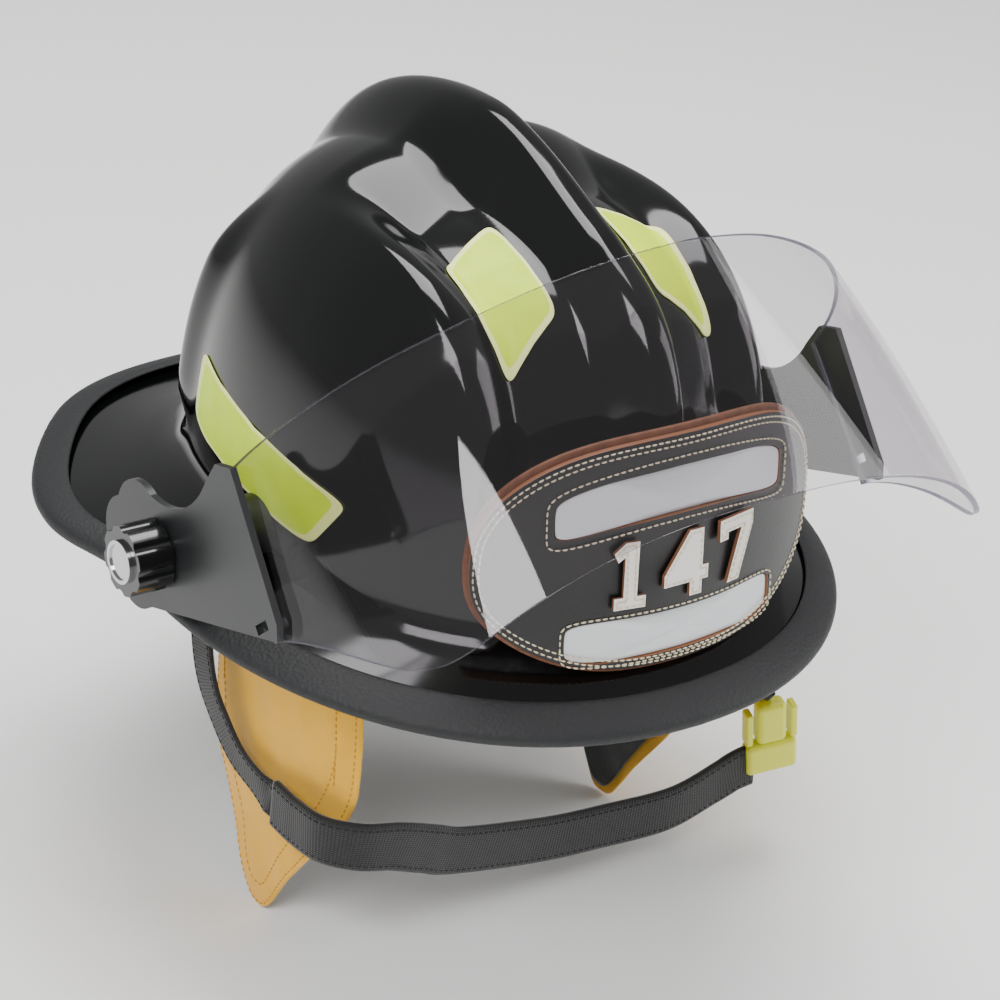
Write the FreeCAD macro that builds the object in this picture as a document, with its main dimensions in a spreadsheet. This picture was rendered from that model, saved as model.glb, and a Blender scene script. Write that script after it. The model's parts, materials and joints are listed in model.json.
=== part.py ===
import FreeCAD, Part
import math
import os
import Sketcher

from FreeCAD import Placement, Rotation, Vector

# Firefighter's helmet. +Z is up, the wearer faces -Y, and the wearer's right is -X.
# The origin is the centre of the headband, where the head holds the helmet.

DIMENSIONS = {
    # outer skin of the shell
    "brim_half_width": 149.0,
    "brim_front_reach": 160.0,
    "brim_back_reach": 206.0,
    "brim_front_level": -3.0,
    "brim_side_level": 2.0,
    "brim_back_level": -3.0,
    "dome_half_width": 110.0,
    "dome_front_reach": 126.0,
    "dome_back_reach": 139.0,
    "foot_level": 21.0,
    "dome_rise": 155.0,
    "plan_power": 2.2,
    "brim_front_power": 2.15,
    "brim_back_power": 2.8,
    "brim_bulge": 0.09,
    "profile_power": 2.7,
    "shell_wall": 2.8,
    "crest_half_width": 34.0,
    "crest_rise": 17.0,
    "panel_depth": 17.0,
    "rib_rise": 7.0,
    "rib_bearing": 137.0,
    "trim_reach": 15.0,
    "trim_half_depth": 4.2,
    "trim_gap": 0.3,
    # tape and front piece
    "tape_thickness": 0.5,
    "tape_gap": 0.45,
    "front_tape_gap": 1.35,
    "panel_lift": 0.9,
    "front_half_width": 90.0,
    "front_height": 95.6,
    "front_foot": 14.4,
    "front_bend": 145.0,
    "front_leather": 2.6,
    "front_backing": 1.8,
    "front_reach": 139.0,
    # inside
    "liner_gap": 2.5,
    "liner_wall": 13.0,
    "liner_rim": 34.0,
    "head_half_width": 78.0,
    "head_half_length": 98.0,
    "band_height": 30.0,
    "band_wall": 2.0,
    "pad_wall": 3.5,
    "strap_wall": 1.2,
    "crown_level": 118.0,
    "ratchet_half_width": 30.0,
    "ratchet_height": 28.0,
    "ratchet_depth": 12.0,
    "ratchet_drop": 6.0,
    "ratchet_knob_radius": 15.0,
    "ratchet_knob_length": 9.0,
    "ratchet_shaft_radius": 3.5,
    # visor
    "hinge_back": 0.0,
    "hinge_level": 28.0,
    "visor_raise": 43.0,
    "mount_reach": 152.0,
    "mount_radius": 15.0,
    "mount_notch": 16.0,
    "washer_wall": 1.0,
    "plate_wall": 3.0,
    "plate_front": 72.0,
    "plate_low": 56.0,
    "plate_high": 13.0,
    "stud_radius": 4.0,
    "stud_clearance": 0.06,
    "knob_radius": 14.5,
    "knob_length": 16.0,
    "knob_ring_radius": 9.0,
    "lens_wall": 2.6,
    "lens_half_width": 152.5,
    "lens_reach": 128.0,
    "lens_start": 60.0,
    # ear covers and chinstrap
    "ear_wall": 1.8,
    "ear_lining": 2.2,
    "ear_drop": 163.0,
    "anchor_back": 45.0,
    "anchor_level": 19.0,
    "webbing_wall": 2.4,
    "narrow_webbing": 16.0,
    "wide_webbing": 23.0,
    "buckle_length": 40.0,
    "buckle_width": 25.0,
    "buckle_depth": 9.0,
    # fasteners
    "screw_radius": 2.2,
    "screw_head_radius": 4.2,
    "screw_head_height": 2.0,
}

doc = FreeCAD.newDocument("FirefighterHelmet")
sheet = doc.addObject("Spreadsheet::Sheet", "Dimensions")
for row, (alias, value) in enumerate(DIMENSIONS.items(), 1):
    sheet.set(f"A{row}", alias)
    sheet.set(f"B{row}", str(value))
    sheet.setAlias(f"B{row}", alias)
doc.recompute()


def size(alias):
    return float(getattr(sheet, alias))


AXIS_X = Vector(1, 0, 0)
AXIS_Y = Vector(0, 1, 0)
AXIS_Z = Vector(0, 0, 1)
SIDES = (("right", -1), ("left", 1))
PARTS = []


# ---------------------------------------------------------------- helpers

def keep(part):
    PARTS.append(part)
    return part


def shaped(label, shape):
    part = doc.addObject("Part::Feature", label)
    part.Shape = shape
    part.Placement = Placement()
    return part


def bound(kind, label, place, **formulas):
    part = doc.addObject(kind, label)
    for name, formula in formulas.items():
        part.setExpression(name, formula)
    part.Placement = place
    return part


def along(start, direction):
    return Placement(start, Rotation(AXIS_Z, direction))


def rod(label, start, direction, radius, length):
    return bound("Part::Cylinder", label, along(start, direction), Radius=radius, Height=length)


def cut(label, base, tool):
    part = doc.addObject("Part::Cut", label)
    part.Base = base
    part.Tool = tool
    return part


def fuse(label, *pieces):
    part = doc.addObject("Part::MultiFuse", label)
    part.Shapes = list(pieces)
    return part


def group(label, *pieces):
    part = doc.addObject("Part::Compound", label)
    part.Links = list(pieces)
    return part


def smooth(low, high, value):
    share = min(1.0, max(0.0, (value - low) / (high - low)))
    return share * share * (3 - 2 * share)


def blend(first, second, share):
    return first + (second - first) * share


def power(value, exponent):
    return math.copysign(abs(value) ** (2.0 / exponent), value)


def turns(count):
    return [2 * math.pi * index / count for index in range(count)]


def closed_solid(faces):
    shell = Part.Shell(faces)
    shell.sewShape()
    solid = Part.Solid(shell)
    if solid.Volume < 0:
        solid.reverse()
    return solid


def ring_solid(rings):
    """Solid skinned over closed rings of points; its first and last rings are flat ends."""
    count = len(rings[0])
    poles = [[ring[index] for ring in rings] for index in range(count)]
    spans = len(rings) - 3
    ends = [4] + [1] * (spans - 1) + [4]
    skin = Part.BSplineSurface()
    skin.buildFromPolesMultsKnots(
        poles, [1] * (count + 1), ends, list(range(count + 1)), list(range(spans + 1)), True, False, 3, 3)
    face = skin.toShape()
    rims = [edge for edge in face.Edges if edge.isClosed()]
    return closed_solid([face] + [Part.Face(Part.Wire([rim])) for rim in rims])


def loop_solid(rings):
    """Solid skinned over closed rings that themselves follow a closed path."""
    half = len(rings) // 2
    count = len(rings[0])
    faces = []
    for run in (rings[:half + 1], rings[half:] + rings[:1]):
        spans = len(run) - 3
        ends = [4] + [1] * (spans - 1) + [4]
        poles = [[ring[index] for ring in run] for index in range(count)]
        skin = Part.BSplineSurface()
        skin.buildFromPolesMultsKnots(
            poles, [1] * (count + 1), ends, list(range(count + 1)), list(range(spans + 1)), True, False, 3, 3)
        faces.append(skin.toShape())
    return closed_solid(faces)


def slab_section(centre, across, through, width, depth):
    """Twelve points round a flat section; the doubled corners keep it square."""
    marks = ((-1, -1), (-0.94, -1), (0, -1), (0.94, -1), (1, -1), (1, -0.6),
             (1, 0.6), (1, 1), (0.94, 1), (0, 1), (-0.94, 1), (-1, 1), (-1, 0.6), (-1, -0.6))
    return [centre + across * (a * width / 2) + through * (b * depth / 2) for a, b in marks]


def webbing(points, across, width, depth):
    """Flat webbing through points, with its width along across."""
    rings = []
    last = len(points) - 1
    for index, point in enumerate(points):
        run = points[min(index + 1, last)] - points[max(index - 1, 0)]
        run.normalize()
        side = across - run * across.dot(run)
        side.normalize()
        rings.append(slab_section(point, side, run.cross(side), width, depth))
    return ring_solid(rings)


def plate(outline, place, depth, count=40):
    """Plate with a rounded outline: place(a, b, lift) puts a flat point on the curved surface."""
    tip = 0.02
    step = 0.001
    shares = (tip, 0.3, 0.6, 0.85, 0.96, 1.0)
    points = [outline(turn) for turn in turns(count)]
    middle_a = sum(point[0] for point in points) / count
    middle_b = sum(point[1] for point in points) / count

    def at(share, lift):
        return [place(blend(middle_a, a, share), blend(middle_b, b, share), lift) for a, b in points]

    def flat(lift):
        centre = place(middle_a, middle_b, lift)
        run_a = (place(middle_a + step, middle_b, lift) - centre) * (tip / step)
        run_b = (place(middle_a, middle_b + step, lift) - centre) * (tip / step)
        return [centre + run_a * (a - middle_a) + run_b * (b - middle_b) for a, b in points]

    rings = [flat(depth)]
    rings += [at(share, depth) for share in shares[1:]]
    rings += [at(1.0, depth * 0.75), at(1.0, depth * 0.25)]
    rings += [at(share, 0.0) for share in reversed(shares[1:])]
    rings.append(flat(0.0))
    return ring_solid(rings)


def rounded(half_width, half_height, exponent, centre=(0.0, 0.0)):
    def outline(turn):
        return (centre[0] + half_width * power(math.cos(turn), exponent),
                centre[1] + half_height * power(math.sin(turn), exponent))
    return outline


# ---------------------------------------------------------------- shape of the shell

def plan(turn, half_width, front, back, front_power=0.0, back_power=0.0):
    """Point of an egg-shaped outline; turn 0 is the front and a quarter turn the wearer's right."""
    ahead = math.cos(turn) > 0
    reach = front if ahead else back
    exponent = (front_power if ahead else back_power) or size("plan_power")
    return (-half_width * power(math.sin(turn), exponent), -reach * power(math.cos(turn), exponent))


def dome_base(turn, lift, inset):
    """Point and outward direction on the plain dome, inset from its outer skin; lift runs 0 to 90 degrees."""
    exponent = size("profile_power")
    half_width = size("dome_half_width") - inset
    front = size("dome_front_reach") - inset
    back = size("dome_back_reach") - inset
    rise = size("dome_rise") - inset
    share = math.cos(lift) ** (2 / exponent)
    height = math.sin(lift) ** (2 / exponent)
    x, y = plan(turn, half_width, front, back)
    point = Vector(x * share, y * share, size("foot_level") + rise * height)
    reach = front if y < 0 else back
    spread = size("plan_power")
    round_x = abs(point.x / half_width)
    round_y = abs(point.y / reach)
    ring = max(1e-6, (round_x ** spread + round_y ** spread) ** (1 / spread))
    slope = ring ** (exponent - 1) * ring ** (1 - spread)
    normal = Vector(
        math.copysign(slope * round_x ** (spread - 1) / half_width, point.x),
        math.copysign(slope * round_y ** (spread - 1) / reach, point.y),
        height ** (exponent - 1) / rise)
    normal.normalize()
    return point, normal


def panel(point):
    """Depth of the two recessed front panels, between the crest and the shoulder on each side."""
    across = abs(point.x)
    width = smooth(3, 26, across) * (1 - smooth(54, 74, across))
    length = (1 - smooth(-12, 42, point.y)) * smooth(50, 100, point.z)
    return size("panel_depth") * width * length


def relief(point):
    """How far the skin stands out from the plain dome: crest and rear ribs, less the front panels."""
    across = abs(point.x)
    share = min(1.0, across / size("crest_half_width"))
    crest = math.cos(0.5 * math.pi * share) ** 2
    if point.y < 0:
        fade = smooth(-60, 20, point.y) + 0.3 * (1 - smooth(-105, -70, point.y)) * smooth(80, 115, point.z)
    else:
        fade = smooth(-60, 20, point.y) * smooth(80, 165, point.z)
    bearing = math.degrees(math.atan2(across, -point.y))
    rib = math.exp(-((bearing - size("rib_bearing")) / 6.5) ** 2)
    band = smooth(22, 50, point.z) * (1 - smooth(105, 150, point.z))
    return size("crest_rise") * crest * fade + size("rib_rise") * rib * band - panel(point)


def dome(turn, lift, inset=0.0):
    point, normal = dome_base(turn, lift, inset)
    return point + normal * relief(point)


def lift_for(level):
    """Dome angle at a height, for the plain dome."""
    share = (level - size("foot_level")) / size("dome_rise")
    return math.asin(max(0.0, share) ** (size("profile_power") / 2))


def lift_at(share):
    """Dome angle at a share of the way out from the crown to the widest ring."""
    return math.acos(share ** (size("profile_power") / 2))


def brim_edge(turn):
    """Outer edge of the brim: narrow beside the hinge, and wider behind it."""
    x, y = plan(turn, size("brim_half_width"), size("brim_front_reach"), size("brim_back_reach"),
                size("brim_front_power"), size("brim_back_power"))
    bulge = smooth(34, 85, y) * (1 - smooth(95, 175, y))
    forward = math.cos(turn)
    end_level = size("brim_front_level") if forward > 0 else size("brim_back_level")
    level = blend(size("brim_side_level"), end_level, forward * forward)
    return Vector(x * (1 + size("brim_bulge") * bulge), y, level)


def brim_foot(turn, inset):
    x, y = plan(turn, size("dome_half_width") - inset, size("dome_front_reach") - inset,
                size("dome_back_reach") - inset)
    return Vector(x, y, size("foot_level") - inset)


def brim_frame(turn):
    """Edge point, outward run of the brim, and its upward normal."""
    edge = brim_edge(turn)
    run = edge - brim_foot(turn, 0.0)
    run.normalize()
    side = AXIS_Z.cross(run)
    side.normalize()
    return edge, run, run.cross(side)


AROUND = 72
APEX_SHARE = 0.05
DOME_SHARES = (0.12, 0.22, 0.32, 0.42, 0.52, 0.62, 0.71, 0.79, 0.86, 0.91, 0.95, 0.975)


def dome_rings(inset):
    """Rings from the flat apex down to the top of the brim's fillet."""
    top = size("foot_level") + size("dome_rise") - inset + size("crest_rise")
    apex = []
    for turn in turns(AROUND):
        point, normal = dome_base(turn, lift_at(APEX_SHARE), inset)
        apex.append(Vector(point.x, point.y, top))
    rings = [apex]
    for share in DOME_SHARES:
        rings.append([dome(turn, lift_at(share), inset) for turn in turns(AROUND)])
    rings.append([dome(turn, lift_for(size("foot_level") + 10), inset) for turn in turns(AROUND)])
    return rings


def shell_solid():
    wall = size("shell_wall")
    shares = (0.0, 0.25, 0.5, 0.75, 0.92, 1.0)
    top = []
    under = []
    for share in shares:
        upper = []
        lower = []
        for turn in turns(AROUND):
            edge, run, normal = brim_frame(turn)
            foot = brim_foot(turn, 0.0)
            dip = 4.0 * math.sin(math.pi * share) * (0.4 - 0.6 * math.cos(turn))
            point = foot + (edge - foot) * share - AXIS_Z * max(0.0, dip)
            upper.append(point)
            lower.append(point - normal * wall)
        top.append(upper)
        under.append(lower)
    rings = dome_rings(0.0) + top + [top[-1], under[-1]] + list(reversed(under))
    rings += list(reversed(dome_rings(wall)))
    return ring_solid(rings)


def trim_solid():
    """Moulded channel pushed over the brim's edge."""
    wall = size("shell_wall")
    gap = size("trim_gap")
    reach = size("trim_reach")
    half = size("trim_half_depth")
    lip = wall / 2 + gap
    section = (
        (-reach, lip), (-reach, lip + 1.4), (-reach + 3, half), (-2, half), (2, half * 0.8), (3.6, 0.0),
        (2, -half * 0.8), (-2, -half), (-reach + 3, -half), (-reach, -lip - 1.4), (-reach, -lip),
        (-reach + 2, -lip), (-4, -lip), (gap, -lip), (gap + 0.2, 0.0), (gap, lip), (-4, lip), (-reach + 2, lip))
    rings = []
    for turn in turns(96):
        edge, run, normal = brim_frame(turn)
        centre = edge - normal * (wall / 2)
        rings.append([centre + run * out + normal * up for out, up in section])
    return loop_solid(rings)


keep(shaped("shell", shell_solid()))
keep(shaped("edge_trim", trim_solid()))


# ---------------------------------------------------------------- reflective tapes

def dome_above(x, y):
    """Point and normal of the plain dome over a place in plan."""
    reach = size("dome_front_reach") if y < 0 else size("dome_back_reach")
    spread = size("plan_power")
    ring = (abs(x / size("dome_half_width")) ** spread + abs(y / reach) ** spread) ** (1 / spread)
    turn = math.atan2(abs(x / size("dome_half_width")) ** (spread / 2), -math.copysign(abs(y / reach) ** (spread / 2), y))
    return dome_base(-math.copysign(turn, x), lift_at(ring), 0.0)


def tape(place_plain, gap):
    """Four-sided tape laid on the finished skin; place_plain(a, b) is a point and normal on the plain dome."""
    thickness = size("tape_thickness")

    def place(a, b, raise_by):
        point, normal = place_plain(a, b)
        return point + normal * (relief(point) + gap + raise_by)

    return plate(rounded(0.5, 0.5, 7.0, (0.5, 0.5)), place, thickness, 32)


def four_corners(corners, a, b):
    """Reading between corners given in order from the top: first pair at b = 1, last pair at b = 0."""
    return [blend(blend(corners[3][k], corners[2][k], a), blend(corners[0][k], corners[1][k], a), b) for k in (0, 1)]


# The front tapes are placed in plan, and the others by dome angle and height.
FRONT_TAPE = ((27.7, -24.8), (61.5, -36.3), (60.2, -90.3), (28.8, -82.1))
TAPES = {
    "tape_side": ((68, 62), (118, 77), (118, 46), (76, 37)),
    "tape_rear": ((150, 92), (168, 84), (168, 56), (150, 62)),
}


def front_tape_place(sign):
    def place(a, b):
        x, y = four_corners(FRONT_TAPE, a, b)
        return dome_above(sign * x, y)
    return place


def turned_place(sign, corners):
    def place(a, b):
        turn, level = four_corners(corners, a, b)
        return dome_base(math.radians(-sign * turn), lift_for(level), 0.0)
    return place


for side, sign in SIDES:
    keep(shaped(f"tape_front_{side}", tape(front_tape_place(sign), size("front_tape_gap"))))
    for name, corners in TAPES.items():
        keep(shaped(f"{name}_{side}", tape(turned_place(sign, corners), size("tape_gap"))))


# ---------------------------------------------------------------- leather front piece

def front_place(a, b, raise_by):
    """Bent front piece: a runs across, b up, and it leans back against the dome."""
    bend = size("front_bend")
    lean = 0.13
    angle = a / bend
    out = size("front_reach") + raise_by - bend
    x = (bend + raise_by) * math.sin(angle)
    y = -(out + bend * math.cos(angle)) + lean * (b - size("front_foot"))
    return Vector(x, y, b)


def front_outline(grow):
    """Broad shield: arched top, full cheeks and a shallow curved foot."""
    half_width = size("front_half_width") + grow
    half_height = size("front_height") / 2 + grow
    middle = size("front_foot") + size("front_height") / 2

    def outline(turn):
        across = math.cos(turn)
        height = math.sin(turn)
        narrow = 1 - 0.11 * smooth(-0.2, 1.0, height) - 0.10 * smooth(0.3, 1.0, -height)
        return (half_width * power(across, 2.9) * narrow, middle + half_height * power(height, 2.5))
    return outline


arch_half = 57.0
arch_level = 88.0
arch_drop = 9.0
bar_half = 52.0
bar_level = 28.0
numeral_level = 56.0


def arch_window(grow):
    """Upper window: a band that follows the arched top."""
    def outline(turn):
        across = (arch_half + grow) * power(math.cos(turn), 6)
        level = (10.0 + grow) * power(math.sin(turn), 6)
        return (across, arch_level + level - arch_drop * (across / arch_half) ** 2)
    return outline


def bar_window(grow):
    """Lower window: a straight band."""
    def outline(turn):
        return ((bar_half + grow) * power(math.cos(turn), 6), bar_level + (9.0 + grow) * power(math.sin(turn), 6))
    return outline


backing_depth = size("front_backing")
face_depth = size("front_leather")
face_seat = backing_depth + 0.1


def front_layer(label, outline, seat, depth):
    def place(a, b, raise_by):
        return front_place(a, b, seat + raise_by)
    return shaped(label, plate(outline, place, depth))


WINDOWS = {"front_panel_upper": arch_window, "front_panel_lower": bar_window}
keep(front_layer("front_backing", front_outline(2.2), 0.0, backing_depth))
leather = front_layer("front_leather_blank", front_outline(0.0), face_seat, face_depth)
for name, window in WINDOWS.items():
    tool = front_layer(f"{name}_opening", window(0.0), face_seat - 1.0, face_depth + 2.0)
    leather = cut(f"{name}_cut", leather, tool)
leather.Label = "front_leather"
keep(leather)
for name, window in WINDOWS.items():
    keep(front_layer(name, window(-0.4), face_seat + size("panel_lift"), 0.8))


def numeral(strokes, middle):
    """Block numeral laid on the leather: strokes is its outline about its own centre."""
    seat = face_seat + face_depth + 0.15
    depth = 1.6
    angle = middle / size("front_bend")
    centre = front_place(middle, numeral_level, seat)
    centre = centre + Vector(math.sin(angle), -math.cos(angle), 0) * 0.25
    frame = Rotation(AXIS_Z, math.degrees(angle)).multiply(Rotation(AXIS_X, 90 - math.degrees(math.atan(0.13))))
    points = [Vector(a, b, 0) for a, b in strokes]
    face = Part.Face(Part.makePolygon(points + points[:1]))
    block = face.extrude(Vector(0, 0, depth))
    block.Placement = Placement(centre, frame)
    return block


DIGIT_ONE = ((-7, -14), (7, -14), (7, -9), (3, -9), (3, 14), (-3, 14), (-8, 10), (-6, 6), (-3, 8), (-3, -9), (-7, -9))
DIGIT_FOUR = ((2, -14), (8, -14), (8, -8), (11, -8), (11, -2), (8, -2), (8, 14), (1, 14), (-11, -3), (-11, -8), (2, -8))
DIGIT_SEVEN = ((-5, -14), (2, -14), (10, 8), (10, 14), (-10, 14), (-10, 5), (-5, 5), (-5, 8), (3, 8))
digits = [numeral(DIGIT_ONE, -26), numeral(DIGIT_FOUR, -1), numeral(DIGIT_SEVEN, 25)]
keep(shaped("front_numerals", Part.makeCompound(digits)))


# Sheet-metal holder behind the leather, screwed through the dome above the foot.
holder_half = 22.0
dome_front = size("dome_front_reach")
holder_level = 66.0
holder_back = dome(0.0, lift_for(holder_level)).y - 0.3
holder_front = front_place(holder_half, holder_level + 13, -0.7).y
holder_base = Part.makeBox(2 * holder_half, 1.6, 26, Vector(-holder_half, holder_back - 1.6, holder_level - 13))
holder_arm = Part.makeBox(2 * holder_half, holder_back - holder_front, 1.6,
                          Vector(-holder_half, holder_front, holder_level + 11.4))
keep(shaped("front_holder", holder_base.fuse(holder_arm).removeSplitter()))


def screw(label, start, direction, length):
    """Pan-head screw: start is under the head, direction runs along its shank."""
    shank = rod(f"{label}_shank", start, direction, "Dimensions.screw_radius", str(length))
    head_start = start - direction * size("screw_head_height")
    head = rod(f"{label}_head", head_start, direction, "Dimensions.screw_head_radius", "Dimensions.screw_head_height")
    return fuse(label, shank, head)


# ---------------------------------------------------------------- impact liner and suspension

def panelled(turn, lift, inset):
    point, normal = dome_base(turn, lift, inset)
    return point - normal * panel(point)


def liner_solid():
    outer = size("shell_wall") + size("liner_gap")
    inner = outer + size("liner_wall")
    rim = size("liner_rim")

    def skin(inset):
        top = size("foot_level") + size("dome_rise") - inset
        rings = [[Vector(point.x, point.y, top) for point in
                  [dome_base(turn, lift_at(APEX_SHARE), inset)[0] for turn in turns(AROUND)]]]
        for share in DOME_SHARES[:-2]:
            rings.append([panelled(turn, lift_at(share), inset) for turn in turns(AROUND)])
        low = [dome_base(turn, lift_for(rim + 12), inset)[0] for turn in turns(AROUND)]
        base = [Vector(point.x, point.y, rim) for point in low]
        return rings + [low, base]

    outside = skin(outer)
    inside = skin(inner)
    return ring_solid(outside + [outside[-1], inside[-1]] + list(reversed(inside)))


keep(shaped("impact_liner", liner_solid()))


def head_outline(turn, grow):
    return plan(turn, size("head_half_width") + grow, size("head_half_length") + grow, size("head_half_length") + grow)


def band_section(turn, grow, wall, height, centre_level):
    """Upright section of a band that goes round the head."""
    x, y = head_outline(turn, grow)
    outward = Vector(-math.sin(turn), -math.cos(turn), 0)
    return slab_section(Vector(x, y, centre_level) + outward * (wall / 2), AXIS_Z, outward, height, wall)


band_wall = size("band_wall")
band_height = size("band_height")
keep(shaped("headband", loop_solid(
    [band_section(turn, 0.0, band_wall, band_height, 0.0) for turn in turns(64)])))


def part_band(first, last, steps, grow, wall, height):
    rings = []
    for index in range(steps + 1):
        turn = math.radians(blend(first, last, index / steps))
        rings.append(band_section(turn, grow, wall, height, 0.0))
    return ring_solid(rings)


pad_grow = -size("pad_wall") - 0.3
keep(shaped("brow_pad", part_band(-72, 72, 24, pad_grow, size("pad_wall"), band_height + 6)))
keep(shaped("nape_pad", part_band(142, 218, 14, pad_grow, size("pad_wall"), band_height + 4)))

# Three crown straps run from rim to rim and pass over one another at the top.
CROWN_BEARINGS = (35.0, 90.0, 145.0)
strap_wall = size("strap_wall")
liner_inner = size("shell_wall") + size("liner_gap") + size("liner_wall")
strap_base = size("liner_rim") - 11.6
clip_wall = 2.0


def clip_centre(bearing):
    """Middle of a suspension clip, just outside the headband."""
    turn = math.radians(bearing)
    x, y = head_outline(turn, band_wall + 0.4 + clip_wall / 2)
    return Vector(x, y, 0)


def outward_at(bearing):
    centre = clip_centre(bearing)
    centre.normalize()
    return centre


straps = []
for index, bearing in enumerate(CROWN_BEARINGS):
    start = clip_centre(bearing)
    finish = clip_centre(bearing + 180)
    crown = size("crown_level") + index * (strap_wall + 0.4)
    base_level = strap_base
    points = []
    for step in range(25):
        angle = math.pi * step / 24
        share = 0.5 - 0.5 * power(math.cos(angle), 2.4)
        point = start + (finish - start) * share
        point.z = base_level + (crown - base_level) * math.sin(angle) ** (2 / 2.4)
        points.append(point)
    across = AXIS_Z.cross(finish - start)
    across.normalize()
    straps.append(webbing(points, across, 19.0, strap_wall))
keep(shaped("crown_straps", Part.makeCompound(straps)))

crown_pad_level = size("crown_level") - 3.8


def crown_pad_place(a, b, up):
    """Shallow dome that falls away under the straps on every side."""
    return Vector(a, b, crown_pad_level + up - 0.0042 * (a * a + b * b))


crown_pad_outline = rounded(34, 34, 2.4)
keep(shaped("crown_pad", plate(crown_pad_outline, crown_pad_place, 2.2)))

# Each clip is a hook: its inner leg goes behind the headband's edge and its outer leg under the liner's rim.
hook_low = size("liner_rim") - 14
hook_reach = 13.0
clips = []
for bearing in CROWN_BEARINGS:
    for turn in (bearing, bearing + 180):
        centre = clip_centre(turn)
        outward = outward_at(turn)
        side = AXIS_Z.cross(outward)
        frame = Placement(centre, Rotation(side, outward, AXIS_Z, "ZXY"))
        inner_leg = Part.makeBox(22, clip_wall, hook_low + 12, Vector(-11, -clip_wall / 2, -10))
        bridge = Part.makeBox(22, hook_reach, clip_wall, Vector(-11, -clip_wall / 2, hook_low))
        outer_leg = Part.makeBox(22, clip_wall, size("liner_rim") - 0.4 - hook_low,
                                 Vector(-11, hook_reach - 1.5 * clip_wall, hook_low))
        clip = inner_leg.fuse([bridge, outer_leg]).removeSplitter()
        clip.Placement = frame
        clips.append(clip)
keep(shaped("suspension_clips", Part.makeCompound(clips)))

# Ratchet at the nape: housing on the band, and a knob that turns on its shaft.
ratchet_front = size("head_half_length") + band_wall + 0.4
ratchet_back = ratchet_front + size("ratchet_depth")
housing_corner = Vector(-size("ratchet_half_width"), ratchet_front, -size("ratchet_drop") - size("ratchet_height") / 2)
housing_block = bound(
    "Part::Box", "ratchet_block", Placement(housing_corner, Rotation()),
    Length="2 * Dimensions.ratchet_half_width", Width="Dimensions.ratchet_depth", Height="Dimensions.ratchet_height")
ratchet_axis = Vector(0, ratchet_back, -size("ratchet_drop"))
housing_shaft = rod("ratchet_shaft", ratchet_axis - AXIS_Y, AXIS_Y,
                    "Dimensions.ratchet_shaft_radius", "Dimensions.ratchet_knob_length - 1")
doc.recompute()
housing_round = doc.addObject("Part::Fillet", "ratchet_rounded")
housing_round.Base = housing_block
housing_round.Edges = [(index + 1, 4.0, 4.0) for index, edge in enumerate(housing_block.Shape.Edges)
                       if edge.Length == size("ratchet_depth")]
housing = fuse("ratchet_housing", housing_round, housing_shaft)
keep(housing)


def lobed_knob(label, place, radius, length, bore, bore_depth, lobes):
    """Grip knob: a turned blank with a ring of finger scallops and a blind bore for its shaft."""
    body = doc.addObject("PartDesign::Body", label)
    plane = [item for item in body.Origin.OriginFeatures if item.Role == "XY_Plane"][0]

    def circle(name, centre_x, radius_formula):
        sketch = body.newObject("Sketcher::SketchObject", f"{label}_{name}")
        sketch.AttachmentSupport = [(plane, "")]
        sketch.MapMode = "FlatFace"
        sketch.addGeometry(Part.Circle(Vector(centre_x, 0, 0), AXIS_Z, 1.0), False)
        index = sketch.addConstraint(Sketcher.Constraint("Radius", 0, 1.0))
        sketch.setExpression(f"Constraints[{index}]", radius_formula)
        return sketch

    blank = body.newObject("PartDesign::Pad", f"{label}_blank")
    blank.Profile = circle("rim", 0.0, radius)
    blank.setExpression("Length", length)
    doc.recompute()
    outer = blank.Shape.BoundBox.XMax
    scallop = body.newObject("PartDesign::Pocket", f"{label}_scallop")
    scallop.Profile = circle("grip", outer + 2.4, "3.9")
    scallop.Type = 1
    scallop.Reversed = True
    doc.recompute()
    ring = body.newObject("PartDesign::PolarPattern", f"{label}_scallops")
    ring.Originals = [scallop]
    ring.Axis = (scallop.Profile[0], ["N_Axis"])
    ring.Angle = 360
    ring.Occurrences = lobes
    body.Tip = ring
    doc.recompute()
    hole = body.newObject("PartDesign::Pocket", f"{label}_bore")
    hole.Profile = circle("shaft", 0.0, bore)
    hole.Reversed = True
    hole.setExpression("Length", bore_depth)
    body.Tip = hole
    body.Placement = place
    return body


keep(lobed_knob("ratchet_knob", along(ratchet_axis + AXIS_Y * 0.3, AXIS_Y), "Dimensions.ratchet_knob_radius",
                "Dimensions.ratchet_knob_length", "Dimensions.ratchet_shaft_radius + Dimensions.stud_clearance",
                "Dimensions.ratchet_knob_length - 1.5", 12))


# ---------------------------------------------------------------- visor

hinge = Vector(0, size("hinge_back"), size("hinge_level"))
raise_angle = math.radians(size("visor_raise"))
forward = Vector(0, -math.cos(raise_angle), math.sin(raise_angle))
upward = Vector(0, math.sin(raise_angle), math.cos(raise_angle))
mount_reach = size("mount_reach")
washer_wall = size("washer_wall")
plate_wall = size("plate_wall")
plate_inner = mount_reach + washer_wall
knob_start = plate_inner + plate_wall + washer_wall


def visor_point(across, ahead, height):
    return hinge + AXIS_X * across + forward * ahead + upward * height


def plate_outline():
    """Side plate: a lobe round the hinge, a straight front edge and a tapering foot."""
    front = size("plate_front")
    low = size("plate_low")
    high = size("plate_high")
    return [
        ((-18, 30), (-33, 27), (-37, 8)),
        ((-37, 8), (-38, -8), (-22, -17)),
        ((-22, -17), (front - 4, -low)),
        ((front - 4, -low), (front, -low + 6)),
        ((front, -low + 6), (front + 4, high - 1)),
        ((front + 4, high - 1), (front - 6, high + 4)),
        ((front - 6, high + 4), (front - 18, high)),
        ((front - 18, high), (20, 13), (8, 22)),
        ((8, 22), (-2, 32), (-18, 30)),
    ]


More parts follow.
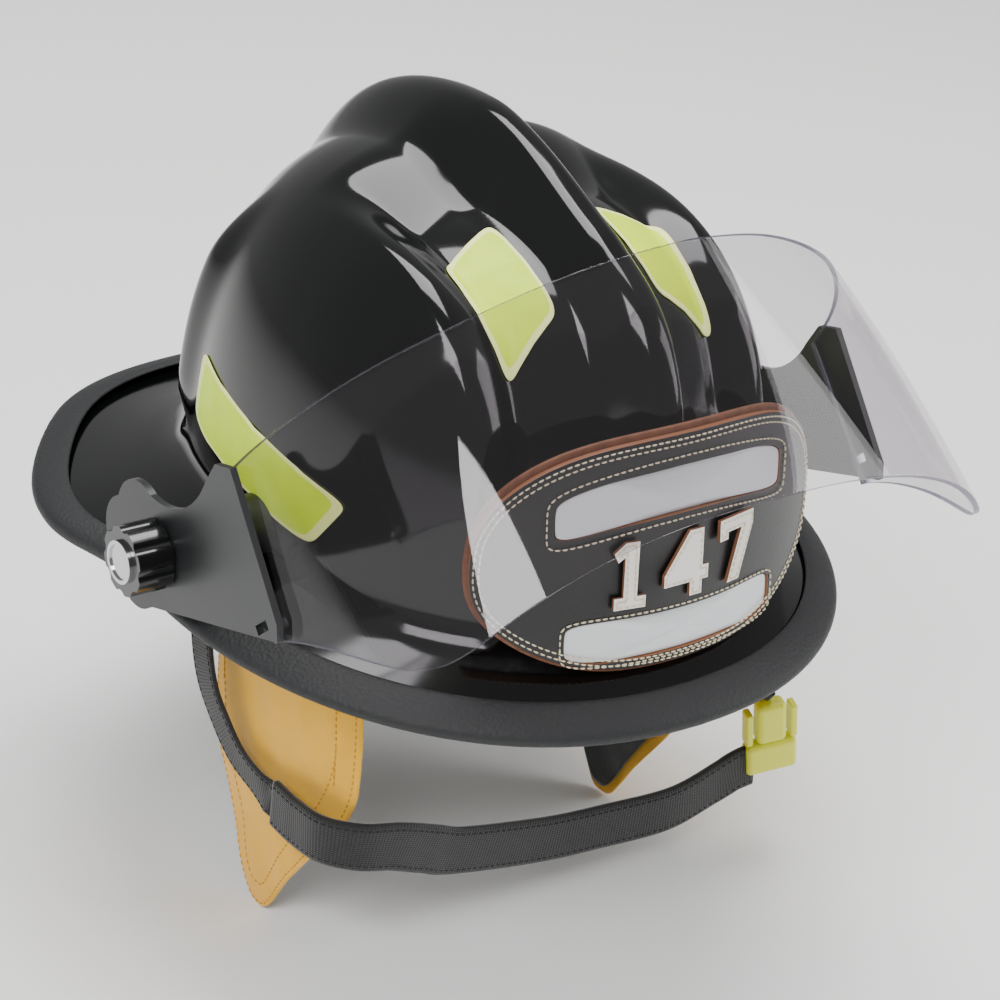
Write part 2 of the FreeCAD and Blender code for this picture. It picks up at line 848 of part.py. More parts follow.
def plate_solid(sign):
    edges = []
    inner = sign * plate_inner
    for run in plate_outline():
        points = [visor_point(inner, ahead, height) for ahead, height in run]
        if len(points) == 2:
            edges.append(Part.LineSegment(*points).toShape())
        else:
            edges.append(Part.Arc(*points).toShape())
    face = Part.Face(Part.Wire(edges))
    body = face.extrude(AXIS_X * (sign * plate_wall))
    bore = Part.makeCylinder(size("stud_radius") + size("stud_clearance"), 3 * plate_wall,
                             visor_point(sign * (plate_inner - plate_wall), 0, 0), AXIS_X * sign)
    slot = Part.makeBox(9, 3 * plate_wall, 4)
    slot.Placement = Placement(visor_point(sign * (plate_inner - plate_wall), size("plate_front") - 16,
                                           10 - size("plate_low")),
                               Rotation(forward, AXIS_X * sign, upward, "XYZ"))
    return body.cut(bore).cut(slot)


def between(table, value):
    """Straight-line reading of a table of (position, level) pairs."""
    for (left, low), (right, high) in zip(table, table[1:]):
        if value <= right:
            return blend(low, high, (value - left) / (right - left))
    return table[-1][1]


# Heights of the face shield's edges above the hinge line, by degrees from its side to the middle of its front.
LENS_LOW = ((0, -55.0), (12, -70.0), (22, -83.5), (28, -89.0), (33, -90.0), (40, -87.0), (51, -80.0), (62, -74.5),
            (71, -71.0), (79, -68.5), (90, -67.0))
LENS_HIGH = ((0, 11.0), (8, 14.0), (18, 18.5), (28, 23.0), (40, 28.0), (51, 31.0), (61, 34.0), (70, 36.0), (90, 37.0))
LENS_LOW_POWER = 2.73
LENS_HIGH_POWER = 1.68


def lens_point(angle, share, lift):
    """Face-shield skin: angle 0 and pi are its two ends, share runs from its low to its high edge."""
    exponent = blend(LENS_LOW_POWER, LENS_HIGH_POWER, share)
    across = (size("lens_half_width") + lift) * power(math.cos(angle), exponent)
    ahead = size("lens_start") + (size("lens_reach") + lift) * power(math.sin(angle), exponent)
    bearing = min(math.degrees(angle), 180 - math.degrees(angle))
    return visor_point(across, ahead, blend(between(LENS_LOW, bearing), between(LENS_HIGH, bearing), share))


def lens_solid():
    wall = size("lens_wall")
    shares = (0.0, 0.02, 0.25, 0.5, 0.75, 0.98, 1.0)
    rings = []
    steps = 60
    for step in range(steps + 1):
        angle = math.pi * step / steps
        outer = [lens_point(angle, share, 0.0) for share in shares]
        inner = [lens_point(angle, share, -wall) for share in reversed(shares)]
        if step in (0, steps):
            sign = math.copysign(1, outer[0].x)
            half = size("lens_half_width")
            outer = [Vector(sign * half, point.y, point.z) for point in outer]
            inner = [Vector(sign * (half - wall), point.y, point.z) for point in inner]
            flat_ahead = forward.dot(outer[0] - hinge)
            outer = [point - forward * (forward.dot(point - hinge) - flat_ahead) for point in outer]
            inner = [point - forward * (forward.dot(point - hinge) - flat_ahead) for point in inner]
        rings.append(outer + inner)
    return ring_solid(rings)


keep(shaped("visor_lens", lens_solid()))

for side, sign in SIDES:
    outward = AXIS_X * sign
    wall_x = abs(dome(math.radians(90), lift_for(size("hinge_level"))).x)
    mount_start = Vector(sign * (wall_x + 0.3), hinge.y, hinge.z)
    boss = rod(f"visor_mount_boss_{side}", mount_start, outward, "Dimensions.mount_radius",
               f"Dimensions.mount_reach - {wall_x + 0.3}")
    stud = rod(f"visor_stud_{side}", Vector(sign * mount_reach, hinge.y, hinge.z), outward,
               "Dimensions.stud_radius", "Dimensions.plate_wall + 2 * Dimensions.washer_wall + Dimensions.knob_length - 4")
    # The boss is notched underneath, where it passes over the root of the brim.
    notch_width = size("mount_notch") + 5
    notch_height = size("foot_level") + 4.3
    notch_start = min(sign * (wall_x - 5), sign * (wall_x + size("mount_notch")))
    notch_box = Part.makeBox(notch_width, 60, notch_height, Vector(notch_start, hinge.y - 30, 0))
    notch = shaped(f"visor_mount_notch_{side}", notch_box)
    keep(cut(f"visor_mount_{side}", fuse(f"visor_mount_blank_{side}", boss, stud), notch))
    keep(shaped(f"visor_plate_{side}", plate_solid(sign)))
    washers = []
    for start in (mount_reach + 0.1, plate_inner + plate_wall + 0.1):
        disc = Part.makeCylinder(size("mount_radius") - 3, washer_wall - 0.2, Vector(sign * start, hinge.y, hinge.z), outward)
        hole = Part.makeCylinder(size("stud_radius") + 0.3, 3 * washer_wall,
                                 Vector(sign * (start - washer_wall), hinge.y, hinge.z), outward)
        washers.append(disc.cut(hole))
    keep(shaped(f"visor_washers_{side}", Part.makeCompound(washers)))
    knob_place = along(Vector(sign * knob_start, hinge.y, hinge.z), outward)
    keep(lobed_knob(f"visor_knob_{side}", knob_place, "Dimensions.knob_radius", "Dimensions.knob_length",
                    "Dimensions.stud_radius + Dimensions.stud_clearance", "Dimensions.knob_length - 2", 8))
    ring_start = Vector(sign * (knob_start + size("knob_length") + 0.1), hinge.y, hinge.z)
    ring_disc = rod(f"knob_ring_disc_{side}", ring_start, outward, "Dimensions.knob_ring_radius", "1.6")
    ring_hole = rod(f"knob_ring_hole_{side}", ring_start + outward * 0.8, outward,
                    "Dimensions.knob_ring_radius - 1.6", "2")
    keep(cut(f"knob_ring_{side}", ring_disc, ring_hole))


# ---------------------------------------------------------------- ear covers

EAR_MIDDLE = -1.0
EAR_HALF = 56.0


def ear_place(sign):
    def place(a, b, raise_by):
        """a runs front to back and b up; the cover hangs inside the brim and leans in a little."""
        bow = 8.5 * ((a - EAR_MIDDLE) / EAR_HALF) ** 2
        x = 98.2 - bow + 0.02 * b + raise_by
        return Vector(sign * x, a, b)
    return place


def ear_outline(grow):
    """Rounded tongue: straight upper sides and a narrow tip."""
    def outline(turn):
        across = math.cos(turn)
        height = math.sin(turn)
        low = -size("ear_drop")
        b = blend(low, size("liner_rim") - 0.6, 0.5 + 0.5 * power(height, 3.0))
        narrow = 1 - 0.75 * smooth(71, 171, -b)
        return (EAR_MIDDLE + (EAR_HALF + grow) * power(across, 3.2) * narrow, b + (grow if height > 0 else -grow))
    return outline


def offset_place(place, seat):
    return lambda a, b, raise_by: place(a, b, seat + raise_by)


for side, sign in SIDES:
    cover = plate(ear_outline(0.0), ear_place(sign), size("ear_wall"))
    lining = plate(ear_outline(-4.0), offset_place(ear_place(sign), -size("ear_lining") - 0.3), size("ear_lining"))
    keep(shaped(f"ear_cover_{side}", cover))
    keep(shaped(f"ear_lining_{side}", lining))


# ---------------------------------------------------------------- chinstrap

anchor_back = size("anchor_back")
anchor_level = size("anchor_level")
anchor_wall = 2.0


anchor_face = abs(dome_base(math.radians(112), lift_for(28), size("shell_wall"))[0].x) - 0.3


def anchor_box(sign, width, height, level, wall=anchor_wall):
    start = anchor_face - wall if sign > 0 else -anchor_face
    return Part.makeBox(wall, width, height, Vector(start, anchor_back - width / 2, level))


for side, sign in SIDES:
    anchor_plate = anchor_box(sign, 20, 12, anchor_level)
    anchor_bar = anchor_box(sign, 24, 11, anchor_level - 10)
    anchor_eye = anchor_box(sign, 19, 5, anchor_level - 6.5)
    keep(shaped(f"strap_anchor_{side}", anchor_plate.fuse(anchor_bar).cut(anchor_eye).removeSplitter()))

RIGHT_RUN = ((-101.6, 45, 8.5), (-105.5, 44.5, -6), (-108, 42, -30), (-108, 38, -52), (-107.5, 33, -66),
             (-106.5, 25, -77), (-105.5, 11, -89), (-104.8, -7, -94.5), (-104.8, -19, -96))
WIDE_RUN = ((-104.8, -20, -96), (-104.8, -36, -96), (-103, -54, -94.5), (-91, -65, -95.5), (-73.6, -67, -99.5),
            (-56, -66, -107), (-37.7, -64, -115), (9.5, -62, -126), (43, -63, -129), (80, -65, -130),
            (108, -63, -126), (120, -63, -122.5), (130, -63, -121.5))
LEFT_RUN = ((101.6, 45, 8.5), (106, 42, -8), (110, 26, -30), (116, -2, -50), (123, -36, -66), (127, -56, -76),
            (129.8, -67.6, -84.3))


def vectors(points):
    return [Vector(*point) for point in points]


narrow = size("narrow_webbing")
wide = size("wide_webbing")
webbing_wall = size("webbing_wall")
keep(shaped("chinstrap_right", webbing(vectors(RIGHT_RUN), AXIS_Y, narrow, webbing_wall)))
keep(shaped("chinstrap_wide", webbing(vectors(WIDE_RUN), AXIS_Z, wide, webbing_wall * 1.6)))
keep(shaped("chinstrap_left", webbing(vectors(LEFT_RUN), AXIS_Y, narrow, webbing_wall)))

# Side-release buckle: female body on the left webbing, male tongue on the wide strap, two squeeze arms.
buckle_length = size("buckle_length")
buckle_width = size("buckle_width")
buckle_depth = size("buckle_depth")
buckle_top = Vector(130, -68, -85)
buckle_down = Vector(0.21, 0.05, -0.98)
buckle_down.normalize()
buckle_side = Vector(0.95, -0.3, 0)
buckle_side = buckle_side - buckle_down * buckle_side.dot(buckle_down)
buckle_side.normalize()
buckle_face = buckle_side.cross(buckle_down)
buckle_frame = Rotation(buckle_side, buckle_face, buckle_down * -1, "XZY")


def buckle_block(across, depth, length, down, shift=0.0):
    block = Part.makeBox(across, depth, length, Vector(-across / 2, -depth / 2, -length))
    block = block.makeFillet(min(depth, across) * 0.3, [edge for edge in block.Edges])
    place = Placement(buckle_top + buckle_down * down + buckle_side * shift, buckle_frame)
    return block.transformGeometry(place.toMatrix())


arm_width = 3.4
arm_gap = 2.0
body_length = buckle_length * 0.56
keep(shaped("buckle_body", buckle_block(buckle_width - 2 * (arm_width + arm_gap), buckle_depth, body_length, 0)))
keep(shaped("buckle_tongue", buckle_block(buckle_width, buckle_depth, buckle_length - body_length - 0.4,
                                          body_length + 0.4)))
for name, sign in (("front", 1), ("rear", -1)):
    shift = sign * (buckle_width - arm_width) / 2
    keep(shaped(f"buckle_arm_{name}", buckle_block(arm_width, buckle_depth - 2, body_length - 4, 3.6, shift)))


# ---------------------------------------------------------------- fasteners

holder_screws = []
for sign in (-1, 1):
    start = Vector(sign * 12, holder_back - 1.7, holder_level)
    holder_screws.append(screw(f"holder_screw_{sign + 1}", start, AXIS_Y, size("shell_wall") + 4))
keep(group("holder_screws", *holder_screws))

doc.recompute()
os.makedirs("parts", exist_ok=True)
for part in doc.Objects:
    if "Invalid" in part.State or "Error" in part.State:
        raise RuntimeError(f"{part.Label} failed: {part.State}")
for part in PARTS:
    if part.Shape.isNull() or not part.Shape.isValid():
        raise RuntimeError(f"{part.Label} has a bad shape")
for part in PARTS:
    part.Shape.exportStep(f"parts/{part.Label}.step")
    print(part.Label, round(part.Shape.Volume), len(part.Shape.Solids))
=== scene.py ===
import json
import math

import bpy
import numpy as np
from mathutils import Matrix, Vector


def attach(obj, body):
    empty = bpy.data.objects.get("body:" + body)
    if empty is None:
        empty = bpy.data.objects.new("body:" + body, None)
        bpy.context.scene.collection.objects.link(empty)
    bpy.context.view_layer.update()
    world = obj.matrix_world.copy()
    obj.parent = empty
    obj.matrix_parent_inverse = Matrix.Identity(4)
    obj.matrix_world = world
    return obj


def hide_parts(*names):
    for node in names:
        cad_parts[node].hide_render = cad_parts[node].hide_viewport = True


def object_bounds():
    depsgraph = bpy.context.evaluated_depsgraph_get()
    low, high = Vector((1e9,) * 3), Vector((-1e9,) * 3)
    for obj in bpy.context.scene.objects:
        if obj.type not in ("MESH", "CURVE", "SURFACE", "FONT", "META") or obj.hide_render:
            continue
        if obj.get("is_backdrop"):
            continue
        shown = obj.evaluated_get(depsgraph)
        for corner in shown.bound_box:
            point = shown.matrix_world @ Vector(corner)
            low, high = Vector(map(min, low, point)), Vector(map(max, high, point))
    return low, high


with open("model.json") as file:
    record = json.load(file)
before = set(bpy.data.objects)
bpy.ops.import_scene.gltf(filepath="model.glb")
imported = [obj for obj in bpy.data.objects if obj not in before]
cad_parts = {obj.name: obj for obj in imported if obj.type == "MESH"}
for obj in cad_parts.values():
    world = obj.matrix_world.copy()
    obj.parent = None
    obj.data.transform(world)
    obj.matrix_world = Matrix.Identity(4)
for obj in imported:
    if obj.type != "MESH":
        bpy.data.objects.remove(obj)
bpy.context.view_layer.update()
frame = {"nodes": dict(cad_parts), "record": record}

# Firefighter's helmet. Sizes below are in millimetres, and meshes are written in metres.
MM = 0.001
SIDES = (("right", -1), ("left", 1))

# ---------------------------------------------------------------- shape helpers


def smooth(low, high, value):
    share = np.clip((value - low) / (high - low), 0.0, 1.0)
    return share * share * (3 - 2 * share)


def blend(first, second, share):
    return first + (second - first) * share


def power(value, exponent):
    return np.sign(value) * np.abs(value) ** (2.0 / exponent)


def unit(vectors):
    return vectors / np.maximum(np.linalg.norm(vectors, axis=-1, keepdims=True), 1e-9)


def stack(*parts):
    return np.stack(np.broadcast_arrays(*parts), axis=-1).astype(float)


def waves(points, seed, length, count=9):
    """Smooth repeatable bumps from -1 to 1 over points, about length millimetres apart."""
    random = np.random.default_rng(seed)
    total = np.zeros(points.shape[:-1])
    for _ in range(count):
        direction = unit(random.normal(size=3))
        scale = random.uniform(0.7, 1.5) * 2 * math.pi / length
        total += np.sin(points @ direction * scale + random.uniform(0, 6.28))
    return total / math.sqrt(count) / 1.6


# ---------------------------------------------------------------- materials


def colour(code):
    """Linear colour from an sRGB hex code."""
    parts = [int(code[i:i + 2], 16) / 255 for i in (0, 2, 4)]
    return tuple(p / 12.92 if p <= 0.04045 else ((p + 0.055) / 1.055) ** 2.4 for p in parts) + (1.0,)


def put(tree, kind, settings=None, **links):
    """Adds a node, sets its fields and unlinked inputs, and links the named inputs."""
    node = tree.nodes.new(kind)
    for key, value in (settings or {}).items():
        if isinstance(key, str) and hasattr(node, key):
            setattr(node, key, value)
        else:
            node.inputs[key].default_value = value
    for key, source in links.items():
        name = int(key[1:]) if key[0] == "i" and key[1:].isdigit() else key.replace("_", " ")
        tree.links.new(source, node.inputs[name])
    return node


def material(name, base, rough, metal=0.0, coat=0.0, bump=None, grain=None, **extra):
    """Painted or moulded surface. bump is (kind, size in mm, height in mm); grain varies its colour and gloss."""
    made = bpy.data.materials.new(name)
    made.use_nodes = True
    tree = made.node_tree
    shader = tree.nodes["Principled BSDF"]
    shader.inputs["Base Color"].default_value = colour(base)
    shader.inputs["Roughness"].default_value = rough
    shader.inputs["Metallic"].default_value = metal
    shader.inputs["Coat Weight"].default_value = coat
    shader.inputs["Coat Roughness"].default_value = 0.04
    for key, value in extra.items():
        shader.inputs[key.replace("_", " ")].default_value = value
    place = put(tree, "ShaderNodeTexCoord").outputs["Object"]
    if grain:
        second, size, amount = grain
        noise = put(tree, "ShaderNodeTexNoise", {"Scale": 1 / (size * MM), "Detail": 4.0}, Vector=place)
        ramp = put(tree, "ShaderNodeMapRange", {"From Min": 0.35, "From Max": 0.65, "To Max": amount},
                   Value=noise.outputs["Fac"])
        mix = put(tree, "ShaderNodeMix", {"data_type": "RGBA"}, i0=ramp.outputs["Result"])
        mix.inputs[6].default_value = colour(base)
        mix.inputs[7].default_value = colour(second)
        tree.links.new(mix.outputs[2], shader.inputs["Base Color"])
        gloss = put(tree, "ShaderNodeMapRange", {"From Min": 0.3, "From Max": 0.7, "To Min": rough * 0.85,
                                                 "To Max": min(1.0, rough * 1.2 + 0.01)}, Value=noise.outputs["Fac"])
        tree.links.new(gloss.outputs["Result"], shader.inputs["Roughness"])
    if bump:
        kind, size, height = bump
        if kind == "cells":
            texture = put(tree, "ShaderNodeTexVoronoi", {"Scale": 1 / (size * MM)}, Vector=place).outputs["Distance"]
        elif kind == "grain":
            texture = put(tree, "ShaderNodeTexNoise", {"Scale": 1 / (size * MM), "Detail": 3.0},
                          Vector=place).outputs["Fac"]
        else:
            texture = weave(tree, size, kind)
        lift = put(tree, "ShaderNodeBump", {"Strength": 0.8, "Distance": height * MM}, Height=texture)
        tree.links.new(lift.outputs["Normal"], shader.inputs["Normal"])
    return made


def weave(tree, size, kind):
    """Woven threads on the cloth's own flat coordinates, which are in millimetres."""
    flat = put(tree, "ShaderNodeAttribute", {"attribute_name": "cloth"}).outputs["Vector"]
    if kind == "twill":
        flat = put(tree, "ShaderNodeMapping", {"Rotation": (0, 0, math.radians(28))}, Vector=flat).outputs["Vector"]
    ribs = put(tree, "ShaderNodeTexWave", {"Scale": 0.314 / size, "Distortion": 0.3, "bands_direction": "X"}, Vector=flat)
    cross = put(tree, "ShaderNodeTexWave", {"Scale": 0.5 / size, "Distortion": 0.3, "bands_direction": "Y"}, Vector=flat)
    total = put(tree, "ShaderNodeMath", {"operation": "MULTIPLY"})
    tree.links.new(ribs.outputs["Fac"], total.inputs[0])
    tree.links.new(cross.outputs["Fac"], total.inputs[1])
    return total.outputs[0]


def two_tone(made, second, attribute, low, high):
    """Blends the base colour to a second one where a mesh attribute rises from low to high."""
    tree = made.node_tree
    shader = tree.nodes["Principled BSDF"]
    mask = put(tree, "ShaderNodeAttribute", {"attribute_name": attribute}).outputs["Fac"]
    ramp = put(tree, "ShaderNodeMapRange", {"From Min": low, "From Max": high}, Value=mask)
    mix = put(tree, "ShaderNodeMix", {"data_type": "RGBA"}, i0=ramp.outputs["Result"])
    mix.inputs[6].default_value = shader.inputs["Base Color"].default_value
    mix.inputs[7].default_value = colour(second)
    if shader.inputs["Base Color"].is_linked:
        tree.links.new(shader.inputs["Base Color"].links[0].from_socket, mix.inputs[6])
    tree.links.new(mix.outputs[2], shader.inputs["Base Color"])
    return made


def edge_tone(made, second, radial_y):
    """Shows the raw core colour on a bent sheet's cut edges: faces that turn away from the sheet's own face."""
    tree = made.node_tree
    shader = tree.nodes["Principled BSDF"]
    where = put(tree, "ShaderNodeTexCoord")
    flat = put(tree, "ShaderNodeVectorMath", {"operation": "MULTIPLY_ADD"})
    tree.links.new(where.outputs["Object"], flat.inputs[0])
    flat.inputs[1].default_value = (1, 1, 0)
    flat.inputs[2].default_value = (0, -radial_y * MM, 0)
    away = put(tree, "ShaderNodeVectorMath", {"operation": "NORMALIZE"}, i0=flat.outputs["Vector"])
    facing = put(tree, "ShaderNodeVectorMath", {"operation": "DOT_PRODUCT"})
    tree.links.new(away.outputs["Vector"], facing.inputs[0])
    tree.links.new(where.outputs["Normal"], facing.inputs[1])
    ramp = put(tree, "ShaderNodeMapRange", {"From Min": 0.86, "From Max": 0.7}, Value=facing.outputs["Value"])
    mix = put(tree, "ShaderNodeMix", {"data_type": "RGBA"}, i0=ramp.outputs["Result"])
    mix.inputs[6].default_value = shader.inputs["Base Color"].default_value
    mix.inputs[7].default_value = colour(second)
    tree.links.new(mix.outputs[2], shader.inputs["Base Color"])
    return made


M = {
    # deep black moulding with soft wide highlights
    "shell_gloss": material("moulded_shell_black", "060707", 0.09, bump=("grain", 7, 0.012)),
    # matt band with a fine pebble that breaks up the light
    "trim_pebble": material("pebbled_trim", "17181a", 0.62, bump=("cells", 1.6, 0.25)),
    # lime reflective film with a painted glow: a weak emission in the film's own lime colour makes it shine as if lit
    "tape": material("lime_reflective_film_painted_glow", "cdea00", 0.5, bump=("cells", 1.1, 0.03),
                     grain=("bcdc00", 14, 0.5), Emission_Color=colour("b4dc00"), Emission_Strength=0.22),
    "leather_face": edge_tone(material("black_leather", "0d0c0c", 0.42, coat=0.15, bump=("grain", 1.4, 0.12)),
                              "8f5d3d", 2.0),
    "leather_edge": material("tan_leather_core", "7d4f33", 0.6, bump=("grain", 1.2, 0.1), grain=("5f3a25", 5, 0.6)),
    "silver_film": material("silver_reflective_film", "d3d6d8", 0.3, metal=0.35, bump=("cells", 0.9, 0.03)),
    "numeral": edge_tone(material("white_leather", "eceae3", 0.5, bump=("grain", 1.2, 0.08)), "7a5138", 2.0),
    "holder_steel": material("black_coated_steel", "141515", 0.4, bump=("grain", 0.8, 0.03)),
    "screw_steel": material("zinc_screw", "b9bbbb", 0.3, metal=1.0),
    "liner_foam": material("foam_liner", "c9c4b2", 0.85, bump=("cells", 2.2, 0.2)),
    "band_plastic": material("moulded_nylon", "121314", 0.45, bump=("grain", 0.7, 0.02)),
    "flannel": material("black_flannel", "121214", 0.95, bump=("grain", 0.9, 0.35), Sheen_Weight=0.5),
    "webbing": material("black_webbing", "111112", 0.8, bump=("rib", 1.5, 0.3), Sheen_Weight=0.25),
    "cover_cloth": material("golden_twill", "f2b400", 0.85, bump=("twill", 0.9, 0.16), grain=("dda416", 22, 0.5),
                            Sheen_Weight=0.3),
    "visor_plastic": material("satin_black_nylon", "1b1d1e", 0.36, bump=("grain", 0.6, 0.04)),
    "knob_plastic": material("polished_black_nylon", "0c0c0d", 0.16, coat=0.4),
    "ring_metal": material("polished_insert", "c8c9ca", 0.12, metal=1.0),
    "buckle_lime": material("lime_acetal", "e6e83c", 0.38, coat=0.2),
    "cream_thread": material("cream_thread", "d8cdb0", 0.8),
    "black_thread": material("black_thread", "1b1b1c", 0.8),
    "gold_thread": material("gold_thread", "c98f1e", 0.8),
}


def clear_sheet():
    """Hard-coated clear shield with a light smoke tint, and thicker-looking cut edges."""
    made = bpy.data.materials.new("clear_polycarbonate")
    made.use_nodes = True
    tree = made.node_tree
    tree.nodes.remove(tree.nodes["Principled BSDF"])
    through = put(tree, "ShaderNodeBsdfTransparent", {"Color": colour("f0eef0")})
    shine = put(tree, "ShaderNodeBsdfGlossy", {"Roughness": 0.02, "Color": (1, 1, 1, 1)})
    facing = put(tree, "ShaderNodeLayerWeight", {"Blend": 0.5}).outputs["Facing"]
    steep = put(tree, "ShaderNodeMath", {"operation": "POWER", 1: 5.0}, i0=facing)
    strength = put(tree, "ShaderNodeMath", {"operation": "MULTIPLY_ADD", 1: 0.22, 2: 0.03}, i0=steep.outputs[0])
    face = put(tree, "ShaderNodeMixShader", {}, i0=strength.outputs[0], i1=through.outputs[0], i2=shine.outputs[0])
    core = put(tree, "ShaderNodeBsdfPrincipled", {"Base Color": colour("8b8796"), "Roughness": 0.08})
    clear = put(tree, "ShaderNodeBsdfTransparent", {"Color": colour("8f8c9c")})
    edge = put(tree, "ShaderNodeMixShader", {0: 0.5}, i1=clear.outputs[0], i2=core.outputs[0])
    rim = put(tree, "ShaderNodeAttribute", {"attribute_name": "rim"}).outputs["Fac"]
    both = put(tree, "ShaderNodeMixShader", {}, i0=rim, i1=face.outputs[0], i2=edge.outputs[0])
    tree.links.new(both.outputs[0], tree.nodes["Material Output"].inputs["Surface"])
    return made


M["visor_clear"] = clear_sheet()

# ---------------------------------------------------------------- mesh helpers


def mesh_piece(name, points, faces, mat, body, attributes=None, flat_shading=False):
    """A piece in the row frame, from points in millimetres, riding on a body."""
    data = bpy.data.meshes.new(name)
    data.from_pydata((np.asarray(points, float) * MM).tolist(), [], [list(map(int, face)) for face in faces])
    data.update()
    for key, values in (attributes or {}).items():
        values = np.asarray(values, np.float32)
        if values.ndim == 1:
            data.attributes.new(key, "FLOAT", "POINT").data.foreach_set("value", values)
        else:
            data.attributes.new(key, "FLOAT_VECTOR", "POINT").data.foreach_set("vector", values.ravel())
    if not flat_shading:
        data.polygons.foreach_set("use_smooth", [True] * len(data.polygons))
    made = bpy.data.objects.new(name, data)
    bpy.context.scene.collection.objects.link(made)
    made.data.materials.append(mat)
    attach(made, body)
    return made


def grid_faces(rows, columns, wrap_columns, wrap_rows=False, start=0):
    """Quads over a grid of points stored row by row."""
    faces = []
    for row in range(rows if wrap_rows else rows - 1):
        after = (row + 1) % rows
        for column in range(columns if wrap_columns else columns - 1):
            beside = (column + 1) % columns
            faces.append((start + row * columns + column, start + row * columns + beside,
                          start + after * columns + beside, start + after * columns + column))
    return faces


def outward(made):
    """Turns a closed mesh's faces outward."""
    import bmesh
    work = bmesh.new()
    work.from_mesh(made.data)
    bmesh.ops.recalc_face_normals(work, faces=work.faces)
    work.to_mesh(made.data)
    work.free()
    return made


def ring_piece(name, rings, mat, body, attributes=None, closed=False):
    """Closed piece skinned over rings of points; open runs get fan caps."""
    grid = np.asarray(rings, float)
    rows, columns = grid.shape[:2]
    points = grid.reshape(-1, 3)
    faces = grid_faces(rows, columns, True, closed)
    extra = {key: np.asarray(value).reshape(rows * columns, -1).squeeze() for key, value in (attributes or {}).items()}
    if not closed:
        ends = np.array([grid[0].mean(0), grid[-1].mean(0)])
        points = np.vstack([points, ends])
        first, last = rows * columns, rows * columns + 1
        for column in range(columns):
            beside = (column + 1) % columns
            faces.append((first, beside, column))
            faces.append((last, (rows - 1) * columns + column, (rows - 1) * columns + beside))
        for key, value in extra.items():
            tail = np.stack([value[:columns].mean(0), value[-columns:].mean(0)])
            extra[key] = np.concatenate([value, tail])
    return outward(mesh_piece(name, points, faces, mat, body, extra))


def spline(points, count):
    """Smooth run of count points through a few."""
    points = np.asarray(points, float)
    padded = np.vstack([2 * points[0] - points[1], points, 2 * points[-1] - points[-2]])
    fine = []
    for index in range(len(points) - 1):
        a, b, c, d = padded[index:index + 4]
        for share in np.linspace(0, 1, 24, endpoint=False):
            fine.append(0.5 * (2 * b + (c - a) * share + (2 * a - 5 * b + 4 * c - d) * share ** 2
                               + (3 * b - a - 3 * c + d) * share ** 3))
    fine.append(points[-1])
    fine = np.array(fine)
    along = np.concatenate([[0], np.cumsum(np.linalg.norm(np.diff(fine, axis=0), axis=1))])
    wanted = np.linspace(0, along[-1], count)
    return np.stack([np.interp(wanted, along, fine[:, k]) for k in range(3)], axis=1), along[-1]


def strip_section(width, depth, count=7):
    """Points round a flat strip with soft edges."""
    corner = min(depth * 0.42, width * 0.2)
    marks = []
    for centre_a, centre_b, first in ((1, 1, 0), (-1, 1, 90), (-1, -1, 180), (1, -1, 270)):
        for step in range(3):
            angle = math.radians(first + 45 * step)
            marks.append((centre_a * (width / 2 - corner) + corner * math.cos(angle),
                          centre_b * (depth / 2 - corner) + corner * math.sin(angle)))
        if centre_a * centre_b > 0:
            sign = centre_b
            for part in range(1, count):
                marks.append((sign * (width / 2 - corner) * (1 - 2 * part / count), sign * depth / 2))
    return np.array(marks)


def strap(name, points, across, width, depth, mat, body, spacing=1.6, ripple=0.0):
    """Webbing laid through points, with flat coordinates in millimetres for its weave."""
    rough, length = spline(points, 60)
    count = max(24, int(length / spacing))
    line, length = spline(points, count)
    run = unit(np.gradient(line, axis=0))
    sideways = np.asarray(across, float)
    if sideways.ndim > 1:
        sideways = spline(sideways, count)[0]
    side = unit(sideways - run * (run * sideways).sum(-1, keepdims=True))
    through = np.cross(run, side)
    marks = strip_section(width, depth)
    rings = line[:, None] + side[:, None] * marks[None, :, :1] + through[:, None] * marks[None, :, 1:]
    if ripple:
        rings = rings + through[:, None] * waves(line, 5, 22.0)[:, None, None] * ripple
    flat = np.broadcast_to(marks[None, :, 0], rings.shape[:2])
    distance = np.broadcast_to(np.linspace(0, length, count)[:, None], rings.shape[:2])
    made = ring_piece(name, rings, mat, body, {"cloth": stack(distance, flat, 0.0)})
    return made, line, side, through, length


def item(name, length, width, height):
    """One stitch: a short rounded thread lying along X, in metres."""
    rings = []
    for share in (-1.0, -0.8, -0.4, 0.0, 0.4, 0.8, 1.0):
        swell = math.sqrt(max(0.02, 1 - share ** 2))
        drop = -0.35 * height * share ** 2
        rings.append([(share * length / 2, swell * width / 2 * math.cos(turn), drop + swell * height * math.sin(turn))
                      for turn in np.linspace(0, 2 * math.pi, 8, endpoint=False)])
    points = np.array(rings).reshape(-1, 3) * MM
    faces = grid_faces(7, 8, True) + [tuple(range(8))[::-1], tuple(range(48, 56))]
    data = bpy.data.meshes.new(name)
    data.from_pydata(points.tolist(), [], faces)
    data.polygons.foreach_set("use_smooth", [True] * len(data.polygons))
    made = bpy.data.objects.new(name, data)
    bpy.context.scene.collection.objects.link(made)
    made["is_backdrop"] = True
    made.hide_render = True
    made.hide_viewport = True
    return made


